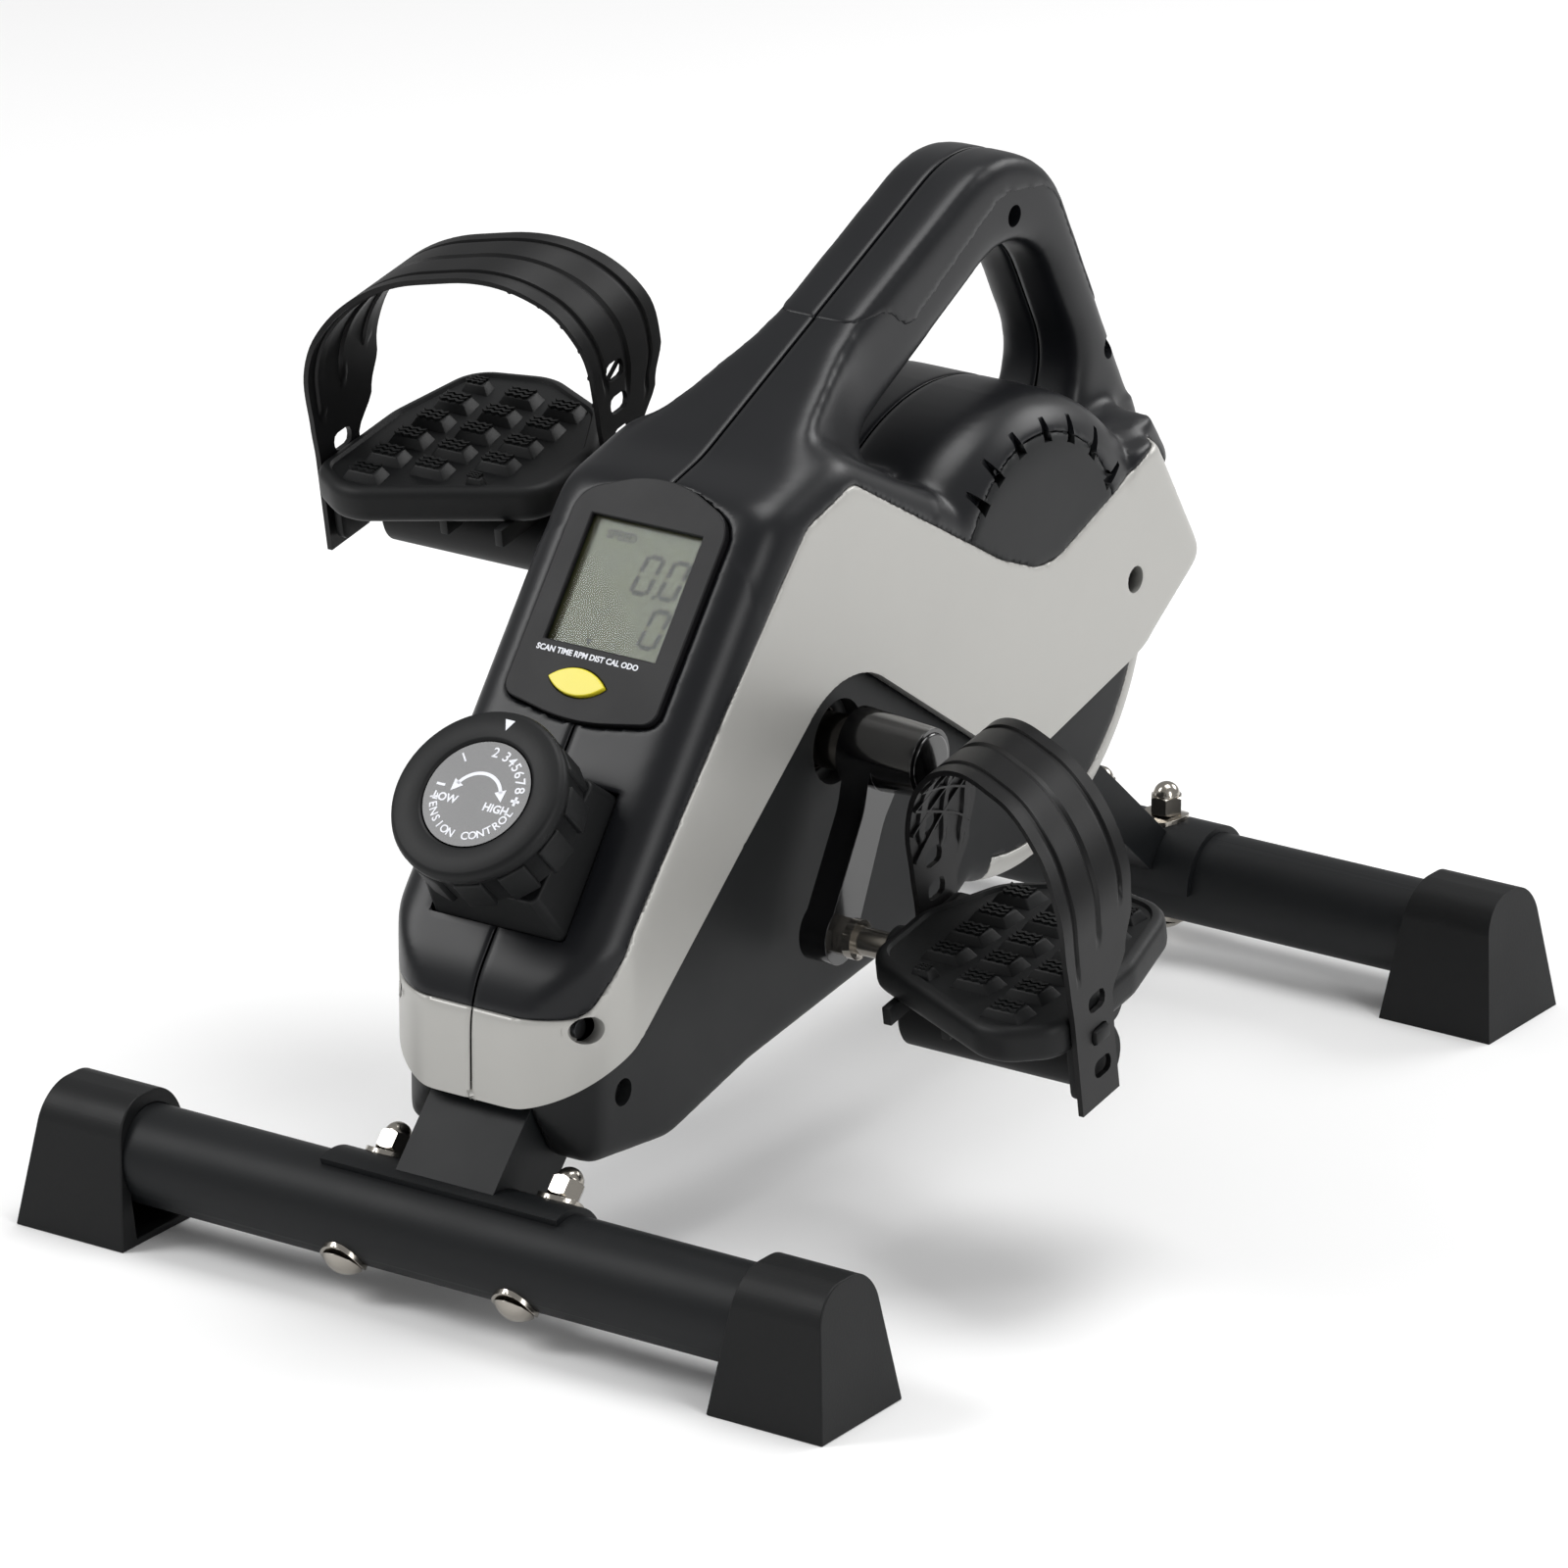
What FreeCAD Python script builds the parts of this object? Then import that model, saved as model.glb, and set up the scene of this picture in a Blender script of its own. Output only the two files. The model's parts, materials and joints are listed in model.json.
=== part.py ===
import FreeCAD, Part
import math
import os
from FreeCAD import Vector

os.makedirs("parts", exist_ok=True)

# Pedal exerciser.  Millimetres.  X to the right of the user, Y from the display end
# (front) to the rear, Z up.  The origin lies on the floor, midway between the tubes.

# ---------------------------------------------------------------- driving dimensions
tube_radius = 21.0
tube_wall = 1.5
tube_height = 33.0
tube_half_spacing = 255.5
foot_half_width = 198.5

cap_length = 55.0
cap_side_wall = 1.5
cap_crown = 5.5
cap_end_wall = 12.0
cap_side_lean = 9.7
cap_end_lean = 7.8
cap_fit = 0.05

saddle_wall = 3.0
saddle_half_width = 58.0
rear_saddle_half_width = 43.0
front_bolt_x = 42.3
rear_bolt_x = 17.0

bolt_radius = 4.0
bolt_clearance = 0.25
weld_gap = 0.03
washer_radius = 10.0
washer_wall = 2.0
nut_across_flats = 13.0
nut_hex_height = 8.0
head_radius = 9.0
head_height = 4.5

neck_half_width = 24.0
neck_depth = 38.0
neck_wall = 2.0
neck_angle = 47.0
neck_length = 160.0
post_depth = 19.0
post_angle = 41.0
post_reach = 142.0
frame_clearance = 0.6

plate_wall = 4.0
crank_y = -48.0
crank_z = 190.0
crank_length = 76.5
crank_angle = 242.8

wheel_y = 90.0
wheel_z = 193.0
flywheel_radius = 78.0
flywheel_width = 12.0
flywheel_x = -14.0
flywheel_axle_radius = 5.0
belt_x = 10.0
belt_width = 9.0
belt_wall = 2.5
drive_pulley_radius = 60.0
small_pulley_radius = 15.0
belt_gap = 0.3

crank_axle_radius = 8.5
bearing_radius = 17.5
bearing_width = 10.0
running_gap = 0.05
arm_boss_radius = 17.0
arm_inner_x = 57.0
arm_boss_length = 35.0
arm_thickness = 13.0
arm_end_radius = 12.5
arm_taper_radius = 8.5
axle_end_radius = 6.5
end_cap_radius = 12.5

casing_wall = 2.6
casing_half_width = 56.0
lower_half_width = 47.0
seam_gap = 0.15
drum_radius = 105.0
edge_round = 14.0
handle_half_width = 21.0
recess_radius = 18.0
vent_radius = 88.0

screw_radius = 2.0
screw_head_radius = 4.0
screw_head_height = 2.5
screw_recess_radius = 6.0
boss_radius = 8.5
boss_floor = 2.0

console_tilt = 38.2
lcd_width = 54.0
lcd_height = 55.0
lcd_y = -132.0
lcd_z = 271.0
bezel_proud = 1.6
bezel_wall = 2.2
bezel_lip = 2.6
bezel_depth = 8.0
console_gap = 0.2
button_width = 28.0
button_height = 12.4
button_x = -4.0
button_drop = 43.0
button_gap = 0.3
cell_radius = 7.25
cell_length = 50.0

knob_tilt = 46.0
knob_y = -235.7
knob_z = 215.4
knob_radius = 38.0
knob_depth = 26.0
dial_radius = 23.5
dial_gap = 0.5
dial_depth = 5.8
running_clearance = 0.35
knob_boss_radius = 19.0
base_front = 29.5
base_depth = 28.5
base_half = 28.5
base_draft = 4.5
cable_radius = 2.5

pedal_inner_x = 104.0
pedal_outer_x = 208.0
pedal_tilt = 10.0
platform_top = 14.0
platform_wall = 16.0
spindle_radius = 6.0
weight_radius = 14.0
strap_wall = 2.5
strap_gap = 0.6
strap_height = 92.0
strap_skew = 50.0
slot_pitch = 15.0

X_AXIS = Vector(1, 0, 0)
Y_AXIS = Vector(0, 1, 0)
Z_AXIS = Vector(0, 0, 1)


# ------------------------------------------------------------------------ helpers
def save(shape, name):
    """Write one sub-part, in the object's frame."""
    solids = shape.Solids
    out = solids[0] if len(solids) == 1 else Part.makeCompound(solids)
    out.exportStep("parts/%s.step" % name)
    volumes = " ".join("%.0f" % solid.Volume for solid in solids)
    print(name, len(solids), volumes, out.isValid())


def rounded_wire(corners, place):
    """Closed wire through (a, b, radius) corners; place(a, b) gives the 3-D point."""
    points = [(Vector(c[0], c[1], 0), c[2] if len(c) > 2 else 0.0) for c in corners]
    edges = []
    ends = []
    count = len(points)
    for i in range(count):
        here, radius = points[i]
        back = (points[i - 1][0] - here).normalize()
        ahead = (points[(i + 1) % count][0] - here).normalize()
        if radius <= 0:
            ends.append((here, None, here))
            continue
        half = back.getAngle(ahead) / 2
        reach = radius / math.tan(half)
        middle = (back + ahead).normalize() * (radius / math.sin(half) - radius)
        ends.append((here + back * reach, here + middle, here + ahead * reach))
    for i in range(count):
        start, middle, stop = ends[i]
        if middle is not None:
            edges.append(Part.Arc(place(start), place(middle), place(stop)).toShape())
        after = ends[(i + 1) % count][0]
        if (after - stop).Length > 1e-6:
            edges.append(Part.LineSegment(place(stop), place(after)).toShape())
    return Part.Wire(edges)


def inset(corners, wall):
    """The same outline moved inwards by the wall; corners run clockwise or not."""
    area = 0.0
    count = len(corners)
    for i in range(count):
        a, b = corners[i], corners[(i + 1) % count]
        area += a[0] * b[1] - b[0] * a[1]
    side = 1.0 if area > 0 else -1.0
    lines = []
    for i in range(count):
        a, b = corners[i], corners[(i + 1) % count]
        length = math.hypot(b[0] - a[0], b[1] - a[1])
        u, v = (b[0] - a[0]) / length, (b[1] - a[1]) / length
        lines.append((a[0] - side * v * wall, a[1] + side * u * wall, u, v))
    result = []
    for i in range(count):
        x1, y1, u1, v1 = lines[i - 1]
        x2, y2, u2, v2 = lines[i]
        cross = u1 * v2 - v1 * u2
        along = ((x2 - x1) * v2 - (y2 - y1) * u2) / cross
        radius = corners[i][2] if len(corners[i]) > 2 else 0.0
        if radius > 0:
            radius = max(radius - wall, 0.5) if cross * side > 0 else radius + wall
        result.append((x1 + u1 * along, y1 + v1 * along, radius))
    return result


def side_prism(corners, low_x, high_x):
    """Prism along X from an outline in (y, z)."""
    wire = rounded_wire(corners, lambda p: Vector(low_x, p.x, p.y))
    return Part.Face(wire).extrude(Vector(high_x - low_x, 0, 0))


def plan_prism(corners, low_z, high_z):
    """Prism along Z from an outline in (x, y)."""
    wire = rounded_wire(corners, lambda p: Vector(p.x, p.y, low_z))
    return Part.Face(wire).extrude(Vector(0, 0, high_z - low_z))


def front_prism(corners, low_y, high_y):
    """Prism along Y from an outline in (x, z)."""
    wire = rounded_wire(corners, lambda p: Vector(p.x, low_y, p.y))
    return Part.Face(wire).extrude(Vector(0, high_y - low_y, 0))


def rod(radius, low_x, high_x, y=0.0, z=0.0):
    """Cylinder along X."""
    return Part.makeCylinder(radius, high_x - low_x, Vector(low_x, y, z), X_AXIS)


def ring(outer, inner, low_x, high_x, y=0.0, z=0.0):
    """Tube along X."""
    return rod(outer, low_x, high_x, y, z).cut(rod(inner, low_x - 1, high_x + 1, y, z))


def box(low, high):
    """Box between two corners."""
    size = [high[i] - low[i] for i in range(3)]
    return Part.makeBox(size[0], size[1], size[2], Vector(*low))


def fuse(shapes):
    """One solid from several that touch."""
    return shapes[0].multiFuse(shapes[1:]).removeSplitter()


def round_sides(solid, half_width, radius):
    """Fillet every edge that lies in either side face."""
    edges = []
    for edge in solid.Edges:
        bounds = edge.BoundBox
        flat = bounds.XLength < 1e-6
        if flat and abs(abs(bounds.XMin) - half_width) < 1e-6:
            edges.append(edge)
    return solid.makeFillet(radius, edges)


def mirror_x(shape):
    """The same piece on the other side of the middle plane."""
    return shape.mirror(Vector(0, 0, 0), X_AXIS)


def both_sides(shape):
    """A piece and its mirror copy."""
    return Part.makeCompound(shape.Solids + mirror_x(shape).Solids)


def lean(shape, angle, y, z):
    """Turn a piece about an axis along X through (y, z)."""
    copy = shape.copy()
    copy.rotate(Vector(0, y, z), X_AXIS, angle)
    return copy


# ------------------------------------------------------------- stabilisers and feet
def stabiliser_tube(y, holes):
    reach = foot_half_width - cap_end_wall - cap_fit
    tube = ring(tube_radius, tube_radius - tube_wall, -reach, reach, y, tube_height)
    return tube.cut(Part.makeCompound(holes))


def foot_cap(y):
    """Right-hand cap: a sleeve whose sides and ends lean in from its flat base."""
    start = foot_half_width - cap_length
    height = tube_height + tube_radius + cap_crown
    lean_in = math.tan(math.radians(cap_side_lean))
    half_base = (tube_radius + cap_side_wall) / math.cos(math.radians(cap_side_lean))
    half_base += tube_height * lean_in
    half_top = half_base - height * lean_in
    corners = [(y - half_base, 0.0), (y + half_base, 0.0), (y + half_top, height, half_top - 0.5),
               (y - half_top, height, half_top - 0.5)]
    body = side_prism(corners, start, foot_half_width)
    draft = height * math.tan(math.radians(cap_end_lean))
    ends = front_prism([(start, 0), (foot_half_width, 0), (foot_half_width - draft, height),
                        (start + draft, height)], y - 2 * half_base, y + 2 * half_base)
    body = body.common(ends)
    bore = rod(tube_radius + cap_fit, start - 1, foot_half_width - cap_end_wall, y, tube_height)
    hollow_half = tube_radius - 3
    hollow = side_prism([(y - hollow_half, 3.0), (y + hollow_half, 3.0),
                         (y + hollow_half, tube_height - 9), (y - hollow_half, tube_height - 9)],
                        start - 1, foot_half_width - cap_end_wall)
    return body.cut(bore).cut(hollow)


def along_bolt(shape, x, y, angle):
    """Place a piece made along +Z from the tube's centre at a bolt."""
    copy = shape.copy()
    copy.rotate(Vector(0, 0, 0), X_AXIS, angle - 90)
    copy.translate(Vector(x, y, tube_height))
    return copy


def upright_rod(radius, low_z, high_z):
    return Part.makeCylinder(radius, high_z - low_z, Vector(0, 0, low_z), Z_AXIS)


def hex_bar(flats, low_z, high_z):
    radius = flats / math.sqrt(3)
    points = []
    for i in range(7):
        angle = math.radians(60 * i)
        points.append(Vector(radius * math.cos(angle), radius * math.sin(angle), low_z))
    return Part.Face(Part.makePolygon(points)).extrude(Vector(0, 0, high_z - low_z))


seat_top = tube_radius + saddle_wall
nut_base = seat_top + washer_wall
bolt_sites = []
for side in (-1, 1):
    bolt_sites.append((side * front_bolt_x, -tube_half_spacing, neck_angle))
    bolt_sites.append((side * rear_bolt_x, tube_half_spacing, 90.0))


def curved_washer(inner):
    outer = inner + washer_wall
    disc = upright_rod(washer_radius, inner * 0.8, outer + 1)
    disc = disc.cut(upright_rod(bolt_radius + bolt_clearance, 0, outer + 2))
    shell = ring(outer, inner + weld_gap, -20, 20)
    return disc.common(shell)


def acorn_nut():
    top = nut_base + nut_hex_height
    body = hex_bar(nut_across_flats, nut_base, top)
    skirt = Part.makeCone(nut_across_flats / 2 + 0.2, nut_across_flats / 2 + 5.2, 5.0,
                          Vector(0, 0, nut_base), Z_AXIS)
    cap = Part.makeCone(nut_across_flats / 2 + 5.2, nut_across_flats / 2 + 0.2, 5.0,
                        Vector(0, 0, top - 5.0), Z_AXIS)
    body = body.common(skirt.fuse(upright_rod(20, nut_base + 1.2, top))).common(
        cap.fuse(upright_rod(20, nut_base, top - 1.2)))
    dome_radius = nut_across_flats / 2 - 0.6
    dome = Part.makeSphere(dome_radius, Vector(0, 0, top)).cut(upright_rod(20, top - 20, top - 0.01))
    neck = upright_rod(dome_radius, top - 1, top + 0.5)
    body = body.fuse(neck).fuse(dome).removeSplitter()
    return body.cut(upright_rod(bolt_radius + bolt_clearance, nut_base - 1, top + 1.5))


def carriage_bolt():
    start = -(tube_radius + washer_wall)
    shank = upright_rod(bolt_radius, start - 0.5, nut_base + nut_hex_height)
    ball = (head_radius ** 2 + head_height ** 2) / (2 * head_height)
    head = Part.makeSphere(ball, Vector(0, 0, start - head_height + ball))
    head = head.common(upright_rod(head_radius, start - head_height - 1, start))
    return shank.fuse(head).removeSplitter()


def bolt_hole(low, high):
    return upright_rod(bolt_radius + bolt_clearance, low, high)


def make_stabilisers():
    holes = [along_bolt(bolt_hole(-40, 40), *site) for site in bolt_sites]
    save(stabiliser_tube(-tube_half_spacing, holes), "front_stabiliser_tube")
    save(stabiliser_tube(tube_half_spacing, holes), "rear_stabiliser_tube")
    for end, y in (("front", -tube_half_spacing), ("rear", tube_half_spacing)):
        cap = foot_cap(y)
        save(cap, "%s_right_foot_cap" % end)
        save(mirror_x(cap), "%s_left_foot_cap" % end)
    upper = curved_washer(seat_top)
    lower = lean(curved_washer(tube_radius), 180, 0, 0)
    washers = []
    for site in bolt_sites:
        washers += [along_bolt(upper, *site), along_bolt(lower, *site)]
    save(Part.makeCompound(washers), "stabiliser_washers")
    save(Part.makeCompound([along_bolt(acorn_nut(), *site) for site in bolt_sites]),
         "stabiliser_acorn_nuts")
    save(Part.makeCompound([along_bolt(carriage_bolt(), *site) for site in bolt_sites]),
         "stabiliser_bolts")
    return holes


# -------------------------------------------------------------------------- frame
def saddle(y, half_width, spread, angle, holes):
    """Part sleeve welded to the frame, wrapping the tube by the spread each way."""
    sleeve = ring(seat_top, tube_radius + running_gap, -half_width, half_width)
    far = 60.0
    half = math.radians(spread)
    edge = (far * math.sin(half), far * math.cos(half))
    wedge = side_prism([(0.0, -1.0), (edge[0], edge[1] - 1.0), (far, far), (-far, far),
                        (-edge[0], edge[1] - 1.0)], -half_width, half_width)
    piece = sleeve.common(wedge)
    piece.rotate(Vector(0, 0, 0), X_AXIS, angle - 90)
    piece.translate(Vector(0, y, tube_height))
    return piece.cut(Part.makeCompound(holes))


def sloped_bar(depth, half_width, low, high, angle, y):
    """Solid rectangular bar along a slope, from the stabiliser's axis outwards."""
    bar = box((-half_width, -depth / 2, low), (half_width, depth / 2, high))
    bar.rotate(Vector(0, 0, 0), X_AXIS, angle - 90)
    bar.translate(Vector(0, y, tube_height))
    return bar


def square_tube(depth, half_width, wall, low, high, angle, y):
    """Rectangular tube along a slope, from the stabiliser's axis outwards."""
    outer = sloped_bar(depth, half_width, low, high, angle, y)
    return outer.cut(sloped_bar(depth - 2 * wall, half_width - wall, low - 1, high + 1, angle, y))


plate_corners = [(-212, 76, 8), (-236, 112, 8), (-226, 132, 8), (-172, 158, 12), (-60, 226, 30),
                 (104, 226, 35), (178, 210, 12), (158, 130, 10), (128, 116, 12), (60, 112, 20),
                 (-30, 108, 30), (-120, 88, 20)]
stud_sites = [(-225.0, 121.0), (-201.5, 87.0), (165.0, 200.0)]
stud_radius = 5.0
stud_high = 38.0
bearing_low = neck_half_width + 2.0
cup_high = bearing_low + bearing_width + 1.0
pin_y = 6.0
pin_z = 128.0
pin_radius = 3.0


def frame_plate():
    """Right-hand side plate with the crank's bearing cup welded on."""
    low = neck_half_width
    plate = side_prism(plate_corners, low, low + plate_wall)
    cup = rod(bearing_radius + 3.0, low, cup_high, crank_y, crank_z)
    cup_bore = rod(bearing_radius + running_gap, bearing_low, cup_high + 1, crank_y, crank_z)
    axle_bore = rod(crank_axle_radius + 1.5, low - 1, cup_high + 1, crank_y, crank_z)
    wheel_bore = rod(flywheel_axle_radius + 0.1, low - 1, low + plate_wall + 1, wheel_y, wheel_z)
    pin_bore = rod(pin_radius + 0.1, low - 1, low + plate_wall + 1, pin_y, pin_z)
    window = rod(26.0, low - 1, low + plate_wall + 1, 22.0, 196.0)
    studs = []
    for y, z in stud_sites:
        studs.append(ring(stud_radius, screw_radius + running_gap, low, stud_high, y, z))
    plate = fuse([plate, cup] + studs).cut(cup_bore).cut(axle_bore).cut(wheel_bore).cut(pin_bore)
    return plate.cut(window).removeSplitter()


def make_frame(holes):
    front_seat = rod(seat_top + weld_gap, -60, 60, -tube_half_spacing, tube_height)
    neck = square_tube(neck_depth, neck_half_width, neck_wall, 10, neck_length, neck_angle,
                       -tube_half_spacing).cut(front_seat)
    save(neck, "neck_tube")
    rear_seat = rod(seat_top + weld_gap, -60, 60, tube_half_spacing, tube_height)
    post = square_tube(post_depth, neck_half_width, neck_wall, 10, post_reach,
                       180 - post_angle, tube_half_spacing).cut(rear_seat)
    wheel_room = rod(flywheel_radius + 4, -60, 60, wheel_y, wheel_z)
    save(post.cut(wheel_room), "rear_post")
    save(saddle(-tube_half_spacing, saddle_half_width, 62, neck_angle, holes), "front_saddle")
    save(saddle(tube_half_spacing, rear_saddle_half_width, 90, 90, holes), "rear_saddle")
    plate = frame_plate()
    save(plate, "frame_plate_right")
    save(mirror_x(plate), "frame_plate_left")


# ----------------------------------------------------------- crank, belt, flywheel
spindle_y = crank_y + crank_length * math.cos(math.radians(crank_angle))
spindle_z = crank_z + crank_length * math.sin(math.radians(crank_angle))
collar_low = cup_high + 4.0


def crank_axle():
    half = arm_inner_x
    shaft = rod(crank_axle_radius, -half, half, crank_y, crank_z)
    ends = rod(axle_end_radius, -half - 25, half + 25, crank_y, crank_z)
    collar = rod(crank_axle_radius + 3, collar_low, half, crank_y, crank_z)
    return fuse([shaft, ends, collar, mirror_x(collar)])


def crank_arm():
    """Right-hand arm: tapered hub, waisted arm and round eye for the spindle."""
    high = arm_inner_x + arm_boss_length
    hub = Part.makeCone(arm_boss_radius, arm_boss_radius - 2.5, arm_boss_length,
                        Vector(arm_inner_x, 0, 0), X_AXIS)
    eye_low = arm_inner_x + 3.0
    eye_high = eye_low + arm_thickness
    eye = rod(arm_end_radius, eye_low, eye_high, crank_length, 0)
    waist = 0.34 * crank_length
    web = side_prism([(0, arm_boss_radius - 2.0), (waist, arm_taper_radius, 30),
                      (crank_length, arm_end_radius - 1.5), (crank_length, -arm_end_radius + 1.5),
                      (waist, -arm_taper_radius, 30), (0, -arm_boss_radius + 2.0)], eye_low, eye_high)
    arm = fuse([hub, eye, web])
    arm = arm.cut(rod(axle_end_radius + running_gap, arm_inner_x - 1, high + 1))
    arm = arm.cut(rod(end_cap_radius, high - 6, high + 1))
    arm = arm.cut(rod(spindle_radius + running_gap, eye_low - 1, eye_high + 1, crank_length, 0))
    arm.rotate(Vector(0, 0, 0), X_AXIS, crank_angle)
    arm.translate(Vector(0, crank_y, crank_z))
    return arm


def end_cap():
    """Domed plastic plug that closes the hub."""
    high = arm_inner_x + arm_boss_length
    disc = rod(end_cap_radius - 0.1, high - 5.8, high + 1.0, crank_y, crank_z)
    ball = 60.0
    dome = Part.makeSphere(ball, Vector(high + 2.5 - ball, crank_y, crank_z))
    return disc.common(dome)


def turn_half(shape):
    """The left-hand crank piece: mirrored, then half a turn about the crank axis."""
    return lean(mirror_x(shape), 180, crank_y, crank_z)


def pedal_spindle():
    low = arm_inner_x + 3.2
    shoulder = arm_inner_x + 3.0 + arm_thickness
    shaft = rod(spindle_radius, low, pedal_outer_x - 12, spindle_y, spindle_z)
    flats = hex_bar(15.0, 0, 5.0)
    flats.rotate(Vector(0, 0, 0), Y_AXIS, 90)
    flats.translate(Vector(shoulder + 0.1, spindle_y, spindle_z))
    flange = rod(8.5, shoulder + 5.1, shoulder + 9, spindle_y, spindle_z)
    return fuse([shaft, flats, flange])


def belt_loop(extra):
    """Convex outline round both pulleys, as a face moved out by extra."""
    big = drive_pulley_radius + extra
    small = small_pulley_radius + extra
    dy = wheel_y - crank_y
    dz = wheel_z - crank_z
    span = math.hypot(dy, dz)
    base = math.atan2(dz, dy)
    open_angle = math.acos((big - small) / span)
    points = []
    for centre, radius, angle in (
            ((crank_y, crank_z), big, base + open_angle),
            ((crank_y, crank_z), big, base + math.pi),
            ((crank_y, crank_z), big, base - open_angle),
            ((wheel_y, wheel_z), small, base - open_angle),
            ((wheel_y, wheel_z), small, base),
            ((wheel_y, wheel_z), small, base + open_angle)):
        points.append(Vector(0, centre[0] + radius * math.cos(angle),
                             centre[1] + radius * math.sin(angle)))
    edges = [Part.Arc(points[0], points[1], points[2]).toShape(),
             Part.LineSegment(points[2], points[3]).toShape(),
             Part.Arc(points[3], points[4], points[5]).toShape(),
             Part.LineSegment(points[5], points[0]).toShape()]
    return Part.Face(Part.Wire(edges))


def drive_belt():
    low = belt_x - belt_width / 2
    outer = belt_loop(belt_gap + belt_wall).extrude(Vector(belt_width, 0, 0))
    inner = belt_loop(belt_gap).extrude(Vector(belt_width, 0, 0))
    belt = outer.cut(inner)
    belt.translate(Vector(low, 0, 0))
    return belt


def pulley(radius, bore, y, z, rim_extra):
    """Flat-rimmed pulley with a guide flange on each side."""
    half = belt_width / 2 + 0.5
    wheel = rod(radius, belt_x - half, belt_x + half, y, z)
    for side in (-1, 1):
        low = belt_x + side * (half + 0.75) - 0.75
        wheel = wheel.fuse(rod(radius + rim_extra, low, low + 1.5, y, z))
    return wheel.cut(rod(bore, belt_x - 20, belt_x + 20, y, z)).removeSplitter()


def drive_pulley():
    wheel = pulley(drive_pulley_radius, crank_axle_radius + running_gap, crank_y, crank_z, 2.0)
    holes = []
    for i in range(6):
        angle = math.radians(60 * i + 30)
        holes.append(rod(13.0, belt_x - 20, belt_x + 20,
                         crank_y + 36 * math.cos(angle), crank_z + 36 * math.sin(angle)))
    wheel = wheel.cut(Part.makeCompound(holes))
    pocket = rod(3.1, belt_x + 4.0, belt_x + 20, magnet_y, magnet_z)
    return wheel.cut(pocket)


magnet_orbit = 55.5
magnet_turn = math.radians(200)
magnet_y = crank_y + magnet_orbit * math.cos(magnet_turn)
magnet_z = crank_z + magnet_orbit * math.sin(magnet_turn)
magnet_x = belt_x + belt_width / 2 + 2.0
hub_radius = 11.0


def flywheel():
    low = flywheel_x - flywheel_width / 2
    high = flywheel_x + flywheel_width / 2
    disc = rod(flywheel_radius, low, high, wheel_y, wheel_z)
    disc = disc.cut(rod(flywheel_radius - 16, low - 1, low + 3.5, wheel_y, wheel_z).cut(
        rod(20, low - 2, low + 4, wheel_y, wheel_z)))
    disc = disc.cut(rod(flywheel_radius - 16, high - 3.5, high + 1, wheel_y, wheel_z).cut(
        rod(20, high - 4, high + 2, wheel_y, wheel_z)))
    return disc.cut(rod(hub_radius + running_gap, low - 1, high + 1, wheel_y, wheel_z))


def flywheel_pulley():
    """Belt pulley and hub in one piece, on which the flywheel is pressed."""
    low = flywheel_x - flywheel_width / 2
    high = belt_x - belt_width / 2 - 2.0
    groove = pulley(small_pulley_radius, 4.0, wheel_y, wheel_z, 2.0)
    hub = rod(hub_radius, low, high + 2, wheel_y, wheel_z)
    piece = hub.fuse(groove)
    seat = rod(8.0 + running_gap, low - 1, low + 6, wheel_y, wheel_z)
    seat_high = rod(8.0 + running_gap, belt_x + 1, belt_x + 20, wheel_y, wheel_z)
    through = rod(flywheel_axle_radius + 1.0, low - 1, belt_x + 20, wheel_y, wheel_z)
    return piece.cut(seat).cut(seat_high).cut(through).removeSplitter()


def flywheel_bearings():
    low = flywheel_x - flywheel_width / 2
    bore = flywheel_axle_radius + running_gap
    first = ring(8.0, bore, low + 0.5, low + 5.9, wheel_y, wheel_z)
    second = ring(8.0, bore, belt_x + 1.1, belt_x + 6.0, wheel_y, wheel_z)
    return Part.makeCompound([first, second])


def flywheel_axle():
    reach = neck_half_width + plate_wall + 9
    axle = rod(flywheel_axle_radius, -reach, reach, wheel_y, wheel_z)
    spacer_low = flywheel_x - flywheel_width / 2 + 0.2
    left = rod(7.0, -neck_half_width, spacer_low, wheel_y, wheel_z)
    right = rod(7.0, belt_x + 6.3, neck_half_width, wheel_y, wheel_z)
    return fuse([axle, left, right])


def flywheel_nuts():
    nut = hex_bar(16.0, 0, 7.0)
    nut.rotate(Vector(0, 0, 0), Y_AXIS, 90)
    nut.translate(Vector(neck_half_width + plate_wall, wheel_y, wheel_z))
    nut = nut.cut(rod(flywheel_axle_radius + running_gap, 0, 60, wheel_y, wheel_z))
    return both_sides(nut)


shoe_angle = 222.0
shoe_gap = 3.5


def polar(radius, angle):
    """Point on a circle about the flywheel's axis."""
    turn = math.radians(angle)
    return wheel_y + radius * math.cos(turn), wheel_z + radius * math.sin(turn)


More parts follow.
